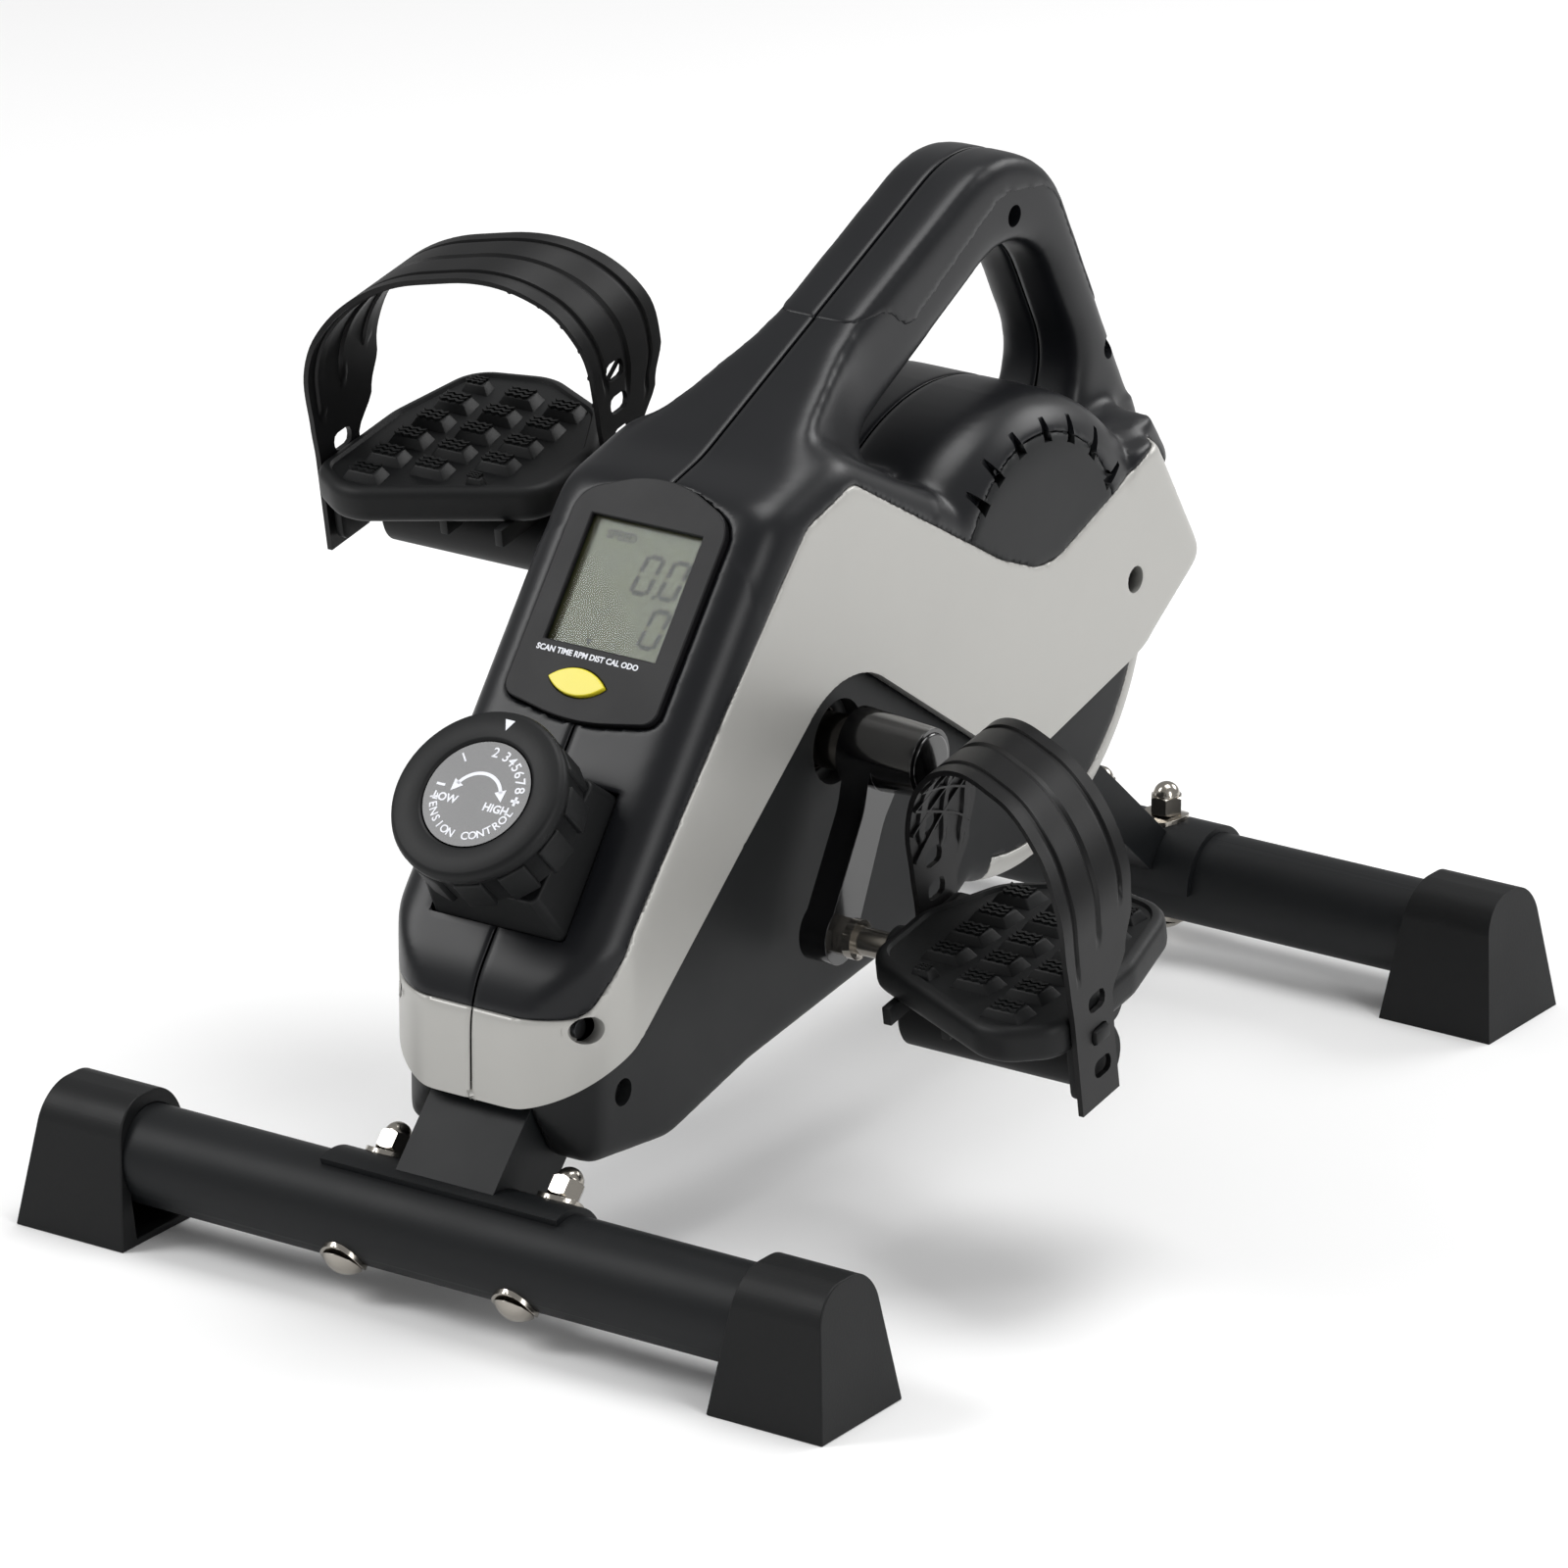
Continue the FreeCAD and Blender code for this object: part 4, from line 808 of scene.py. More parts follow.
# ------------------------------------------------------------------------ casing
@dataclass
class Casing:
    """Moulded casing: black upper shell with handle, silver panels, grey lower shell."""

    half_width: float = 56.0
    lower_half_width: float = 47.0
    grip_half_width: float = 21.0
    drum_radius: float = 105.0
    drum_round: float = 24.0
    drum_y: float = 90.0
    drum_z: float = 193.0
    wall: float = 2.4
    voxel: float = 2.0
    seam_gap: float = 0.35
    seam_roll: float = 0.7
    vent_y: float = 90.0
    vent_z: float = 225.0
    vent_radius: float = 59.4
    vent_angles: tuple = (136.6, 121.7, 102.9, 82.7, 64.5, 45.5, 25.8)
    notch: tuple = ((-4.0, -3.0), (10.0, -1.2), (10.0, 1.2), (-4.0, 3.0))
    front_outline: list = field(default_factory=lambda: [
        (-241, 40, 20), (-241, 131, 45), (-104, 305, 20), (-52, 318, 24), (90, 242, 20),
        (90, 40, 20)])
    tail_outline: list = field(default_factory=lambda: [
        (60, 250, 8), (184, 258, 8), (223, 196, 9), (172, 162, 9), (60, 140, 8)])
    lower_outline: list = field(default_factory=lambda: [
        (-236, 200, 9), (-236, 87, 12), (-220, 60, 12), (-165, 54, 25), (-108, 68, 40),
        (60, 92, 20), (60, 235, 20), (-60, 245, 20)])
    grip_outline: list = field(default_factory=lambda: [
        (-98, 250, 4), (-98, 302, 6), (137, 411, 60), (223, 252, 14), (216, 206, 8), (90, 200, 8)])
    screw_socket: float = 5.8
    lower_screws: tuple = ((-201.5, 87.0),)
    upper_screws: tuple = ((-225.0, 121.0), (165.0, 200.0))
    grip_socket: float = 4.8
    grip_screws: tuple = ((121.0, 366.0), (197.0, 288.0))
    crank_recess: float = 18.0
    crank_bore: float = 13.2
    # Y, angle, depth and reach of the two frame tubes' openings.
    neck: tuple = (-255.5, 47.0, 40.0, 200.0)
    rear_post: tuple = (255.5, 139.0, 21.0, 160.0)
    passage_half_width: float = 25.0
    tube_height: float = 33.0
    rim_radius: float = 93.0
    cover_rise: float = 0.5
    cover_outline: list = field(default_factory=lambda: [
        (26, 349, 10), (42, 338, 10), (112, 378, 24), (152, 372, 26), (186, 312, 10), (230, 300),
        (230, 430), (0, 430), (0, 349)])
    grip_foot: list = field(default_factory=lambda: [
        (150, 240, 5), (168, 262, 8), (194, 266, 8), (214, 238, 8), (190, 225, 8)])
    hand_hole: list = field(default_factory=lambda: [
        (5, 299, 6), (134, 367, 40), (177, 290, 30), (160, 240, 4), (100, 250), (18, 285)])
    nose_plan: list = field(default_factory=lambda: [
        (-58, 240), (-58, -243, 50), (58, -243, 50), (58, 240)])
    lower_nose: list = field(default_factory=lambda: [
        (-58, 240), (-58, -238, 54), (58, -238, 54), (58, 240)])
    upper_seam: list = field(default_factory=lambda: [
        (-262, 125), (-226, 126, 12), (-205, 158, 25), (-140, 233, 60), (-84, 293, 20),
        (-49, 303, 12), (60, 239, 28), (96, 224, 40), (186, 257.5, 6), (240, 205)])
    lower_seam: list = field(default_factory=lambda: [
        (240, 150), (178, 169, 6), (78, 142.7, 45), (-55, 232, 45), (-129, 172, 60),
        (-200, 112.9, 25), (-262, 73.5)])

    def build(self) -> None:
        """Shape both masses, cut them into panels and dress each half."""
        upper = self.upper_mass()
        lower = self.lower_mass()
        self.cut_openings(upper, lower)
        self.split_black(upper)
        self.split_silver(upper, lower)
        self.split_grey(lower)
        discard(upper)
        discard(lower)

    def grip_plan(self) -> list:
        """Plan of the handle: as wide as the casing in front, a hand's grip behind."""
        front, grip = 47.0, self.grip_half_width
        return [(-front, -130), (-front, -92, 40), (-grip, 2, 120), (-grip - 1.0, 250),
                (grip + 1.0, 250), (grip, 2, 120), (front, -92, 40), (front, -130)]

    def upper_mass(self) -> bpy.types.Object:
        """Closed skin of the upper casing and handle, with soft junctions."""
        half = self.half_width
        front = rounded(self.front_outline)
        body = holder("upper", prism(front, -half, half, SIDE_PLANE, 17.0, 6))
        carve(body, prism(rounded(self.nose_plan), 0, 400, FLOOR_PLANE), "INTERSECT", Cut.KEEP)
        grip = holder("grip", prism(rounded(self.grip_outline), -60, 60, SIDE_PLANE))
        carve(grip, prism(rounded(self.grip_plan()), 100, 450), "INTERSECT", Cut.KEEP)
        tail = prism(rounded(self.tail_outline), -half, half, SIDE_PLANE, 5.0)
        foot = prism(rounded(self.grip_foot), -46.0, 46.0, SIDE_PLANE, 6.0)
        whole = holder("upper", joined([released(body), released(grip), tail, foot]))
        remesh(whole, self.voxel)
        carve(whole, prism(rounded(self.hand_hole), -70, 70, SIDE_PLANE), "DIFFERENCE", Cut.KEEP)
        drum = barrel(self.drum_radius, -half, half, self.drum_y, self.drum_z, self.drum_round)
        whole = holder("upper", joined([released(whole), drum]))
        remesh(whole, self.voxel)
        relax(whole, 8)
        relax(whole, 24, self.on_grip)
        return whole

    def on_grip(self, place: Vector) -> bool:
        """Whether a point is on the handle or its flare into the casing.

        Args:
            place: the point.

        Returns:
            True if it is.
        """
        away = math.hypot(place.y - self.drum_y, place.z - self.drum_z)
        return away > self.drum_radius + 4 and place.z > 262 and place.y > -118

    def lower_mass(self) -> bpy.types.Object:
        """Closed skin of the lower casing with its half drum."""
        half = self.lower_half_width
        front = holder("block", prism(rounded(self.lower_outline), -half, half, SIDE_PLANE, 8.0))
        carve(front, prism(rounded(self.lower_nose), 0, 400), "INTERSECT", Cut.KEEP)
        drum = barrel(self.drum_radius, -half, half, self.drum_y, self.drum_z, 9.0)
        whole = holder("lower", joined([released(front), drum]))
        remesh(whole, self.voxel)
        relax(whole, 6)
        return whole

    def cut_openings(self, upper: bpy.types.Object, lower: bpy.types.Object) -> None:
        """Sockets for screws and cranks, and openings for what passes through.

        Args:
            upper: skin of the upper mass.
            lower: skin of the lower mass.
        """
        for side in Side:
            for places, body in ((self.lower_screws, lower), (self.upper_screws, upper)):
                for y, z in places:
                    socket = barrel(self.screw_socket, *side.reach(40.3, 80.0), y, z, sides=40)
                    carve(body, socket, "DIFFERENCE", Cut.KEEP)
            recess = barrel(self.crank_recess, *side.reach(39.7, 70.0), *CRANK_PLACE, sides=72)
            carve(lower, recess, "DIFFERENCE", Cut.KEEP)
            carve(lower, barrel(self.crank_bore, *side.reach(30.0, 45.0), *CRANK_PLACE, sides=48))
        for y, z in self.grip_screws:
            carve(upper, barrel(self.grip_socket, 8.0, 40.0, y, z, sides=36), "DIFFERENCE",
                  Cut.KEEP)
        carve(upper, joined([console_prism(offset_corners(BEZEL_CORNERS, 0.5), -30, 30),
                             knob_base_block(0.6)]))
        for body, room in ((upper, self.neck), (lower, self.neck), (lower, self.rear_post)):
            carve(body, self.passage(*room))

    def passage(self, y: float, angle: float, depth: float, reach: float) -> bmesh.types.BMesh:
        """Room for a rectangular frame tube that leans out of the casing.

        Args:
            y: place of the stabiliser that the tube stands on.
            angle: its lean from level, in degrees.
            depth: the opening's size along the machine.
            reach: how far it runs up from the stabiliser.

        Returns:
            The room's shape.
        """
        half = self.passage_half_width
        bm = block((-half, -depth / 2, 10), (half, depth / 2, reach))
        turn = Matrix.Rotation(math.radians(angle - 90), 4, "X")
        place = Matrix.Translation((0, y, self.tube_height)) @ turn
        bmesh.ops.transform(bm, matrix=place, verts=bm.verts)
        return bm

    def notches(self) -> bmesh.types.BMesh:
        """Wedge-shaped vent notches fanned round the upper edge of both vent plates."""
        shapes = []
        for side in Side:
            for degrees in self.vent_angles:
                angle = math.radians(degrees)
                wedge = prism(self.notch, 49.5, 70.0, SIDE_PLANE)
                if side is Side.LEFT:
                    bmesh.ops.scale(wedge, vec=(-1, 1, 1), verts=wedge.verts)
                turn = Matrix.Rotation(angle, 4, "X")
                out = Vector((0, self.vent_radius * math.cos(angle),
                              self.vent_radius * math.sin(angle)))
                centre = Vector((0, self.vent_y, self.vent_z))
                bmesh.ops.transform(wedge, matrix=Matrix.Translation(centre + out) @ turn,
                                    verts=wedge.verts)
                shapes.append(wedge)
        return joined(shapes)

    def split_black(self, upper: bpy.types.Object) -> None:
        """Black shell above the upper seam, less the vent plates.

        Args:
            upper: skin of the upper mass.
        """
        above = rounded([*self.upper_seam, (240, 450), (-262, 450)])
        black = duplicate(upper, "black")
        plate = duplicate(upper, "vent")
        carve(black, self.vent_region(0.0))
        carve(plate, self.vent_region(0.35), "INTERSECT")
        for piece in (black, plate):
            carve(piece, prism(above, -80, 80, SIDE_PLANE), "INTERSECT")
            carve(piece, self.notches(), "DIFFERENCE", Cut.KEEP)
        self.grip_cover(black)
        self.halves(black, "upper_shell", SHELL_BLACK)
        self.halves(plate, "vent_panel", SHELL_GREY)
        discard(black)
        discard(plate)

    def grip_cover(self, black: bpy.types.Object) -> None:
        """Thin over-moulded cover along the outer side of the handle.

        Args:
            black: skin of the black shell.
        """
        cover = duplicate(black, "cover")
        carve(cover, prism(rounded(self.cover_outline), -60, 60, SIDE_PLANE), "INTERSECT")
        self.trim(cover)
        self.halves(cover, "grip_cover", SHELL_BLACK, self.cover_rise)
        discard(cover)

    def vent_region(self, gap: float) -> bmesh.types.BMesh:
        """Flat ends of the drum inside the vent plate's arc, above the seam.

        Args:
            gap: how much smaller than the opening it is.

        Returns:
            A closed bmesh for each side, gathered.
        """
        return joined(barrel(self.vent_radius - gap, *side.reach(50.0, 60.0), self.vent_y,
                             self.vent_z) for side in Side)

    def split_silver(self, upper: bpy.types.Object, lower: bpy.types.Object) -> None:
        """Silver panels between the seams, with the ledge down to the lower shell.

        Args:
            upper: skin of the upper mass.
            lower: skin of the lower mass.
        """
        silver = duplicate(upper, "silver")
        below = rounded([(-262, 20), (240, 20), *reversed(self.upper_seam)])
        over = rounded([*self.lower_seam, (-262, 400), (240, 400)])
        carve(silver, prism(below, -80, 80, SIDE_PLANE), "INTERSECT")
        carve(silver, prism(over, -80, 80, SIDE_PLANE), "INTERSECT", Cut.KEEP)
        carve(silver, shape_of(lower.data))
        self.trim(silver)
        band = duplicate(lower, "band")
        carve(band, self.band_region(self.rim_radius), "INTERSECT")
        self.trim(band)
        whole = holder("silver", joined([released(silver), released(band)]))
        self.halves(whole, "side_panel", PANEL_SILVER)
        discard(whole)

    def band_region(self, inner: float) -> bmesh.types.BMesh:
        """Sector behind the drum's face where the silver rim shows.

        Args:
            inner: radius inside which it is left out.

        Returns:
            A closed bmesh.
        """
        wedge = [(240, 152), (178, 171), (self.drum_y, self.drum_z), (60, 60), (240, 60)]
        sector = holder("sector", prism(wedge, -60, 60, SIDE_PLANE))
        carve(sector, barrel(inner, -70, 70, self.drum_y, self.drum_z), "DIFFERENCE", Cut.KEEP)
        return released(sector)

    def split_grey(self, lower: bpy.types.Object) -> None:
        """Grey lower shell under the lower seam, less the silver rim.

        Args:
            lower: skin of the lower mass.
        """
        under = [(y, z + 1.0, *rest) for y, z, *rest in self.lower_seam]
        region = rounded([*under, (-262, 30), (240, 30)])
        grey = duplicate(lower, "grey")
        carve(grey, prism(region, -60, 60, SIDE_PLANE), "INTERSECT")
        carve(grey, self.band_region(self.rim_radius - 0.4))
        self.halves(grey, "lower_shell", SHELL_GREY)
        discard(grey)

    def trim(self, body: bpy.types.Object) -> None:
        """Delete the faces that cutters left behind.

        Args:
            body: working object to change.
        """
        bm = shape_of(body.data)
        dropped = [f for f in bm.faces if f.material_index == Cut.DROP.value]
        bmesh.ops.delete(bm, geom=dropped, context="FACES")
        bm.to_mesh(body.data)
        bm.free()

    def halves(self, body: bpy.types.Object, label: str, finish: Finish,
               rise: float = 0.0) -> None:
        """Split a skin at the middle, roll its rims inwards and give it a wall.

        Args:
            body: working object with the whole skin.
            label: name of both pieces, less the side.
            finish: their material.
            rise: how far they stand off the skin; 0 makes them stand for the CAD nodes.
        """
        self.trim(body)
        for side in Side:
            bm = shape_of(body.data)
            bmesh.ops.bisect_plane(bm, geom=bm.verts[:] + bm.edges[:] + bm.faces[:], dist=1e-4,
                                   plane_co=(side.value * self.seam_gap, 0, 0),
                                   plane_no=(-side.value, 0, 0), clear_outer=True)
            bmesh.ops.remove_doubles(bm, verts=bm.verts, dist=0.05)
            loose = [v for v in bm.verts if not v.link_faces]
            bmesh.ops.delete(bm, geom=loose, context="VERTS")
            bm.normal_update()
            for vert, move in [(v, v.normal * rise) for v in bm.verts]:
                vert.co += move
            self.roll_rims(bm)
            name = "%s_%s" % (label, side.word)
            stands_for = [] if rise else [name]
            thing = dressed(name + SKIN, bm, finish, BASE, stands_for, 40.0, recalc=False)
            wall = thing.modifiers.new("wall", "SOLIDIFY")
            wall.thickness = (2 * rise if rise else self.wall) * MM
            wall.offset = -1.0

    def roll_rims(self, bm: bmesh.types.BMesh) -> None:
        """Sink a skin's rim a little, so that seams read as soft grooves.

        Args:
            bm: the open skin.
        """
        bm.normal_update()
        rim = {v for v in bm.verts if v.is_boundary}
        near = {e.other_vert(v) for v in rim for e in v.link_edges} - rim
        for group, drop in ((rim, self.seam_roll), (near, self.seam_roll * 0.25)):
            moves = [(v, v.normal * drop) for v in group]
            for vert, move in moves:
                vert.co -= move


# ----------------------------------------------------------------------- console
CONSOLE_TILT = 38.2
CONSOLE_CENTRE = (0.0, -132.0, 271.0)
BEZEL_CORNERS = [(-37, -53, 7), (0, -60, 90), (37, -53, 7), (37, 36, 14), (0, 52, 50),
                 (-37, 36, 14)]


def console_matrix() -> Matrix:
    """Lays (x, up the face, outwards) on the console's slope."""
    turn = Matrix.Rotation(math.radians(90 - CONSOLE_TILT), 4, "X")
    return Matrix.Translation(CONSOLE_CENTRE) @ turn


def console_prism(corners: Sequence[Corner], low: float, high: float,
                  round_mm: float = 0.0) -> bmesh.types.BMesh:
    """Prism standing on the console's face.

    Args:
        corners: outline (x, up, radius) on the face.
        low: start of the prism, out of the face.
        high: end of the prism.
        round_mm: radius of its rims.

    Returns:
        A closed bmesh.
    """
    return prism(rounded(corners), low, high, console_matrix(), round_mm, 3)


@dataclass
class Lettering:
    """Flat printed words, made from the built-in font."""

    thickness: float = 0.15

    def shape(self, words: str, size: float, place: Matrix, bold: float = 0.0,
              centred: bool = True) -> bmesh.types.BMesh:
        """Thin raised letters.

        Args:
            words: text to print.
            size: letter height setting in millimetres.
            place: matrix that lays the text's plane.
            bold: extra stroke width.
            centred: centred on the place, or starting there.

        Returns:
            A bmesh in millimetres.
        """
        curve = bpy.data.curves.new("words", "FONT")
        curve.body = words
        curve.size = size
        curve.offset = bold
        curve.extrude = self.thickness / 2
        curve.resolution_u = 3
        curve.align_x = "CENTER" if centred else "LEFT"
        curve.align_y = "CENTER"
        thing = placed("words", curve)
        mesh = evaluated(thing)
        bm = shape_of(mesh)
        bpy.data.objects.remove(thing)
        bpy.data.curves.remove(curve)
        bpy.data.meshes.remove(mesh)
        bmesh.ops.transform(bm, matrix=place, verts=bm.verts)
        return bm


@dataclass
class Console:
    """Display unit: bezel, pane, panel with its segments, printed words and button."""

    face: float = 1.6
    panel_face: float = -2.5
    digit_width: float = 9.4
    digit_height: float = 18.0
    stroke: float = 2.0
    slant: float = 0.14
    ink: float = 0.12

    def build(self) -> None:
        """Make and dress every piece of the console."""
        softened("console_bezel", BEZEL_BLACK, BASE, 0.7)
        dress_node("display_window", LENS)
        dress_node("lcd_panel", DISPLAY_PANEL)
        dress_node("console_circuit_board", EPOXY_BOARD)
        dress_node("console_batteries", NICKEL)
        softened("mode_button", BUTTON_YELLOW, "button", 0.6)
        self.segments_piece()
        self.words_piece()

    def digit(self, x: float, up: float) -> list:
        """Six lit segments of a slanted nought.

        Args:
            x: its middle on the panel.
            up: its middle on the panel.

        Returns:
            The six bars.
        """
        w, h, s = self.digit_width / 2, self.digit_height / 2, self.stroke
        bars = [((-w + s, h - s), (w - s, h)), ((-w + s, -h), (w - s, -h + s)),
                ((-w, s * 0.5), (-w + s, h - s * 0.6)), ((w - s, s * 0.5), (w, h - s * 0.6)),
                ((-w, -h + s * 0.6), (-w + s, -s * 0.5)), ((w - s, -h + s * 0.6), (w, -s * 0.5))]
        shapes = []
        for low, high in bars:
            outline = [(low[0], low[1]), (high[0], low[1]), (high[0], high[1]), (low[0], high[1])]
            shapes.append(self.printed([(a + b * self.slant + x, b + up) for a, b in outline]))
        return shapes

    def printed(self, outline: Outline) -> bmesh.types.BMesh:
        """Flat mark on the panel's face.

        Args:
            outline: points (x, up) on the panel.

        Returns:
            A closed bmesh.
        """
        return prism(outline, self.panel_face, self.panel_face + self.ink, console_matrix())

    def segments_piece(self) -> None:
        """Everything that the display shows."""
        level = self.panel_face + self.ink / 2
        shapes = [*self.digit(6.2, 8.0), *self.digit(19.2, 8.0), *self.digit(18.6, -13.5)]
        point = ((11.6, -1.2), (13.2, -1.2), (13.4, 0.4), (11.8, 0.4))
        mark = ((-10.2, -23.0), (-7.4, -23.0), (-8.8, -26.0))
        shapes += [self.printed(point), self.printed(mark)]
        letters = Lettering(self.ink)
        for words, size, x, up in (("SPEED", 5.4, -12.0, 21.5), ("K", 3.6, 25.2, 15.5)):
            place = console_matrix() @ Matrix.Translation((x, up, level))
            shapes.append(letters.shape(words, size, place, 0.14))
        dressed("display_segments", joined(shapes), SEGMENT_INK, BASE)

    def words_piece(self) -> None:
        """Row of generic function words under the display."""
        place = console_matrix() @ Matrix.Translation((-4.0, -31.6, self.face + 0.05))
        letters = Lettering(0.2)
        shape = letters.shape("SCAN TIME RPM DIST CAL ODO", 3.45, place, 0.10)
        dressed("function_words", shape, WHITE_INK, BASE)


# ---------------------------------------------------------------- tension control
KNOB_TILT = 46.0


def knob_matrix() -> Matrix:
    """Lays (x, up the knob's face, outwards) on the knob's slope."""
    turn = Matrix.Rotation(math.radians(90 - KNOB_TILT), 4, "X")
    return Matrix.Translation(joint_place("tension_knob_turn")) @ turn


def knob_base_block(grow: float) -> bmesh.types.BMesh:
    """Square block that carries the knob, grown by a margin.

    Args:
        grow: the margin.

    Returns:
        A closed bmesh.
    """
    bm = bmesh.new()
    bmesh.ops.create_cube(bm, size=1.0)
    front, depth, half, draft = 29.5, 28.5, 28.5, 4.5
    for vert in bm.verts:
        deep = vert.co.z < 0
        reach = half + grow + (draft if deep else 0.0)
        vert.co = Vector((math.copysign(reach, vert.co.x), math.copysign(reach, vert.co.y),
                          -(front + depth) - grow if deep else -front))
    bmesh.ops.transform(bm, matrix=knob_matrix(), verts=bm.verts)
    return bm


@dataclass
class TensionControl:
    """Round knob with a ribbed skirt, on its square base with the printed dial."""

    radius: float = 38.0
    depth: float = 26.0
    dial_face: float = -0.8
    ribs: int = 12
    ink: float = 0.08
    numbers: tuple = (("1", -43), ("2", 0), ("3", 17), ("4", 28), ("5", 39), ("6", 50),
                      ("7", 61.5), ("8", 73))

    def build(self) -> None:
        """Make and dress every piece of the tension control."""
        softened("knob_base", GRAINED_PP, BASE, 1.2)
        dress_node("dial_disc", DIAL_FILM)
        dress_node("tension_cable", SHEATH)
        self.knob()
        self.dial_print()
        self.pointer()

    def knob(self) -> None:
        """Spun knob with raised grip pads round its skirt."""
        bm = bmesh.new()
        r, d = self.radius, self.depth
        profile = [(19.06, -d), (r - 5.0, -d), (r - 2.2, -d + 1.4), (r - 1.6, -8.5),
                   (r - 0.7, -7.2), (r - 0.2, -6.2), (r, -4.5), (r, -2.6), (r - 0.8, -0.9),
                   (r - 2.6, 0.0),
                   (25.6, 0.0), (24.5, -0.4), (24.0, -1.2), (24.0, -6.15), (19.06, -6.15)]
        verts = [bm.verts.new((x, 0, z)) for x, z in profile]
        for first, second in zip(verts, verts[1:] + verts[:1]):
            bm.edges.new((first, second))
        bmesh.ops.spin(bm, geom=bm.verts[:] + bm.edges[:], cent=(0, 0, 0), axis=(0, 0, 1),
                       angle=math.tau, steps=96, use_merge=True)
        shapes = [bm]
        for index in range(self.ribs):
            pad = block((r - 5.0, -6.2, -d + 0.6), (r - 0.2, 6.2, -8.0), 1.1, 3)
            turn = Matrix.Rotation(math.tau * (index + 0.5) / self.ribs, 4, "Z")
            bmesh.ops.transform(pad, matrix=turn, verts=pad.verts)
            shapes.append(pad)
        whole = joined(shapes)
        bmesh.ops.transform(whole, matrix=knob_matrix(), verts=whole.verts)
        dressed("tension_knob" + SKIN, whole, GRAINED_PP, "knob", ["tension_knob"], 40.0)

    def on_dial(self, degrees: float, radius: float, level: float) -> Matrix:
        """Place and turn of something printed round the dial, clockwise from the top.

        Args:
            degrees: how far round.
            radius: distance from the dial's middle.
            level: height over the knob's face.

        Returns:
            The matrix that lays it.
        """
        angle = math.radians(degrees)
        spot = Matrix.Translation((radius * math.sin(angle), radius * math.cos(angle), level))
        return knob_matrix() @ spot @ Matrix.Rotation(-angle, 4, "Z")

    def dial_print(self) -> None:
        """Numbers, double arrow, signs and words on the dial."""
        letters = Lettering(0.16)
        level = self.dial_face + 0.04
        shapes = []
        for number, degrees in self.numbers:
            shapes.append(letters.shape(number, 6.2, self.on_dial(degrees, 18.8, level), 0.06))
        for index, letter in enumerate("TENSION CONTROL"):
            degrees = 180 + 74 - index * 10.6
            place = self.on_dial(degrees, 19.0, level) @ Matrix.Rotation(math.pi, 4, "Z")
            if letter != " ":
                shapes.append(letters.shape(letter, 4.9, place, 0.08))
        for words, x in (("LOW", -13.0), ("HIGH", 11.5)):
            place = knob_matrix() @ Matrix.Translation((x, -4.6, level))
            shapes.append(letters.shape(words, 4.9, place, 0.14))
        shapes.extend(self.arrow(level))
        for x, arms in ((-17.6, ((2.0, 0.55),)), (18.4, ((2.0, 0.6), (0.6, 2.0)))):
            for across, along in arms:
                bar = block((x - across, 0.6 - along, level - self.ink),
                            (x + across, 0.6 + along, level + self.ink))
                bmesh.ops.transform(bar, matrix=knob_matrix(), verts=bar.verts)
                shapes.append(bar)
        dressed("dial_print", joined(shapes), WHITE_INK, BASE)

    def arrow(self, level: float) -> list:
        """Arc with an arrow head at each end.

        Args:
            level: height over the knob's face.

        Returns:
            The three shapes.
        """
        middle, half = 11.4, 0.75
        sweep = [math.radians(-66 + 6 * i) for i in range(23)]
        outer, inner = ([Vector((r * math.sin(a), r * math.cos(a))) for a in sweep]
                        for r in (middle + half, middle - half))
        down = Vector((0, -2.2))
        lay = knob_matrix() @ Matrix.Translation((0, 0, level))
        shapes = [prism([p + down for p in outer + inner[::-1]], -self.ink, self.ink, lay)]
        for sign in (-1, 1):
            angle = math.radians(64 * sign)
            root = Vector((middle * math.sin(angle), middle * math.cos(angle))) + down
            ahead = Vector((math.cos(angle), -math.sin(angle))) * sign
            across = Vector((-ahead.y, ahead.x))
            head = [root + across * 2.6 + ahead * -0.6, root + ahead * 4.4,
                    root - across * 2.6 - ahead * 0.6]
            shapes.append(prism(head, -self.ink, self.ink, lay))
        return shapes

    def pointer(self) -> None:
        """White triangle printed on the knob's rim."""
        tip = ((-2.3, 33.6), (0.0, 28.8), (2.3, 33.6))
        lay = knob_matrix() @ Matrix.Translation((0, 0, 0.04))
        dressed("knob_pointer", prism(tip, -self.ink, self.ink, lay), WHITE_INK, "knob")


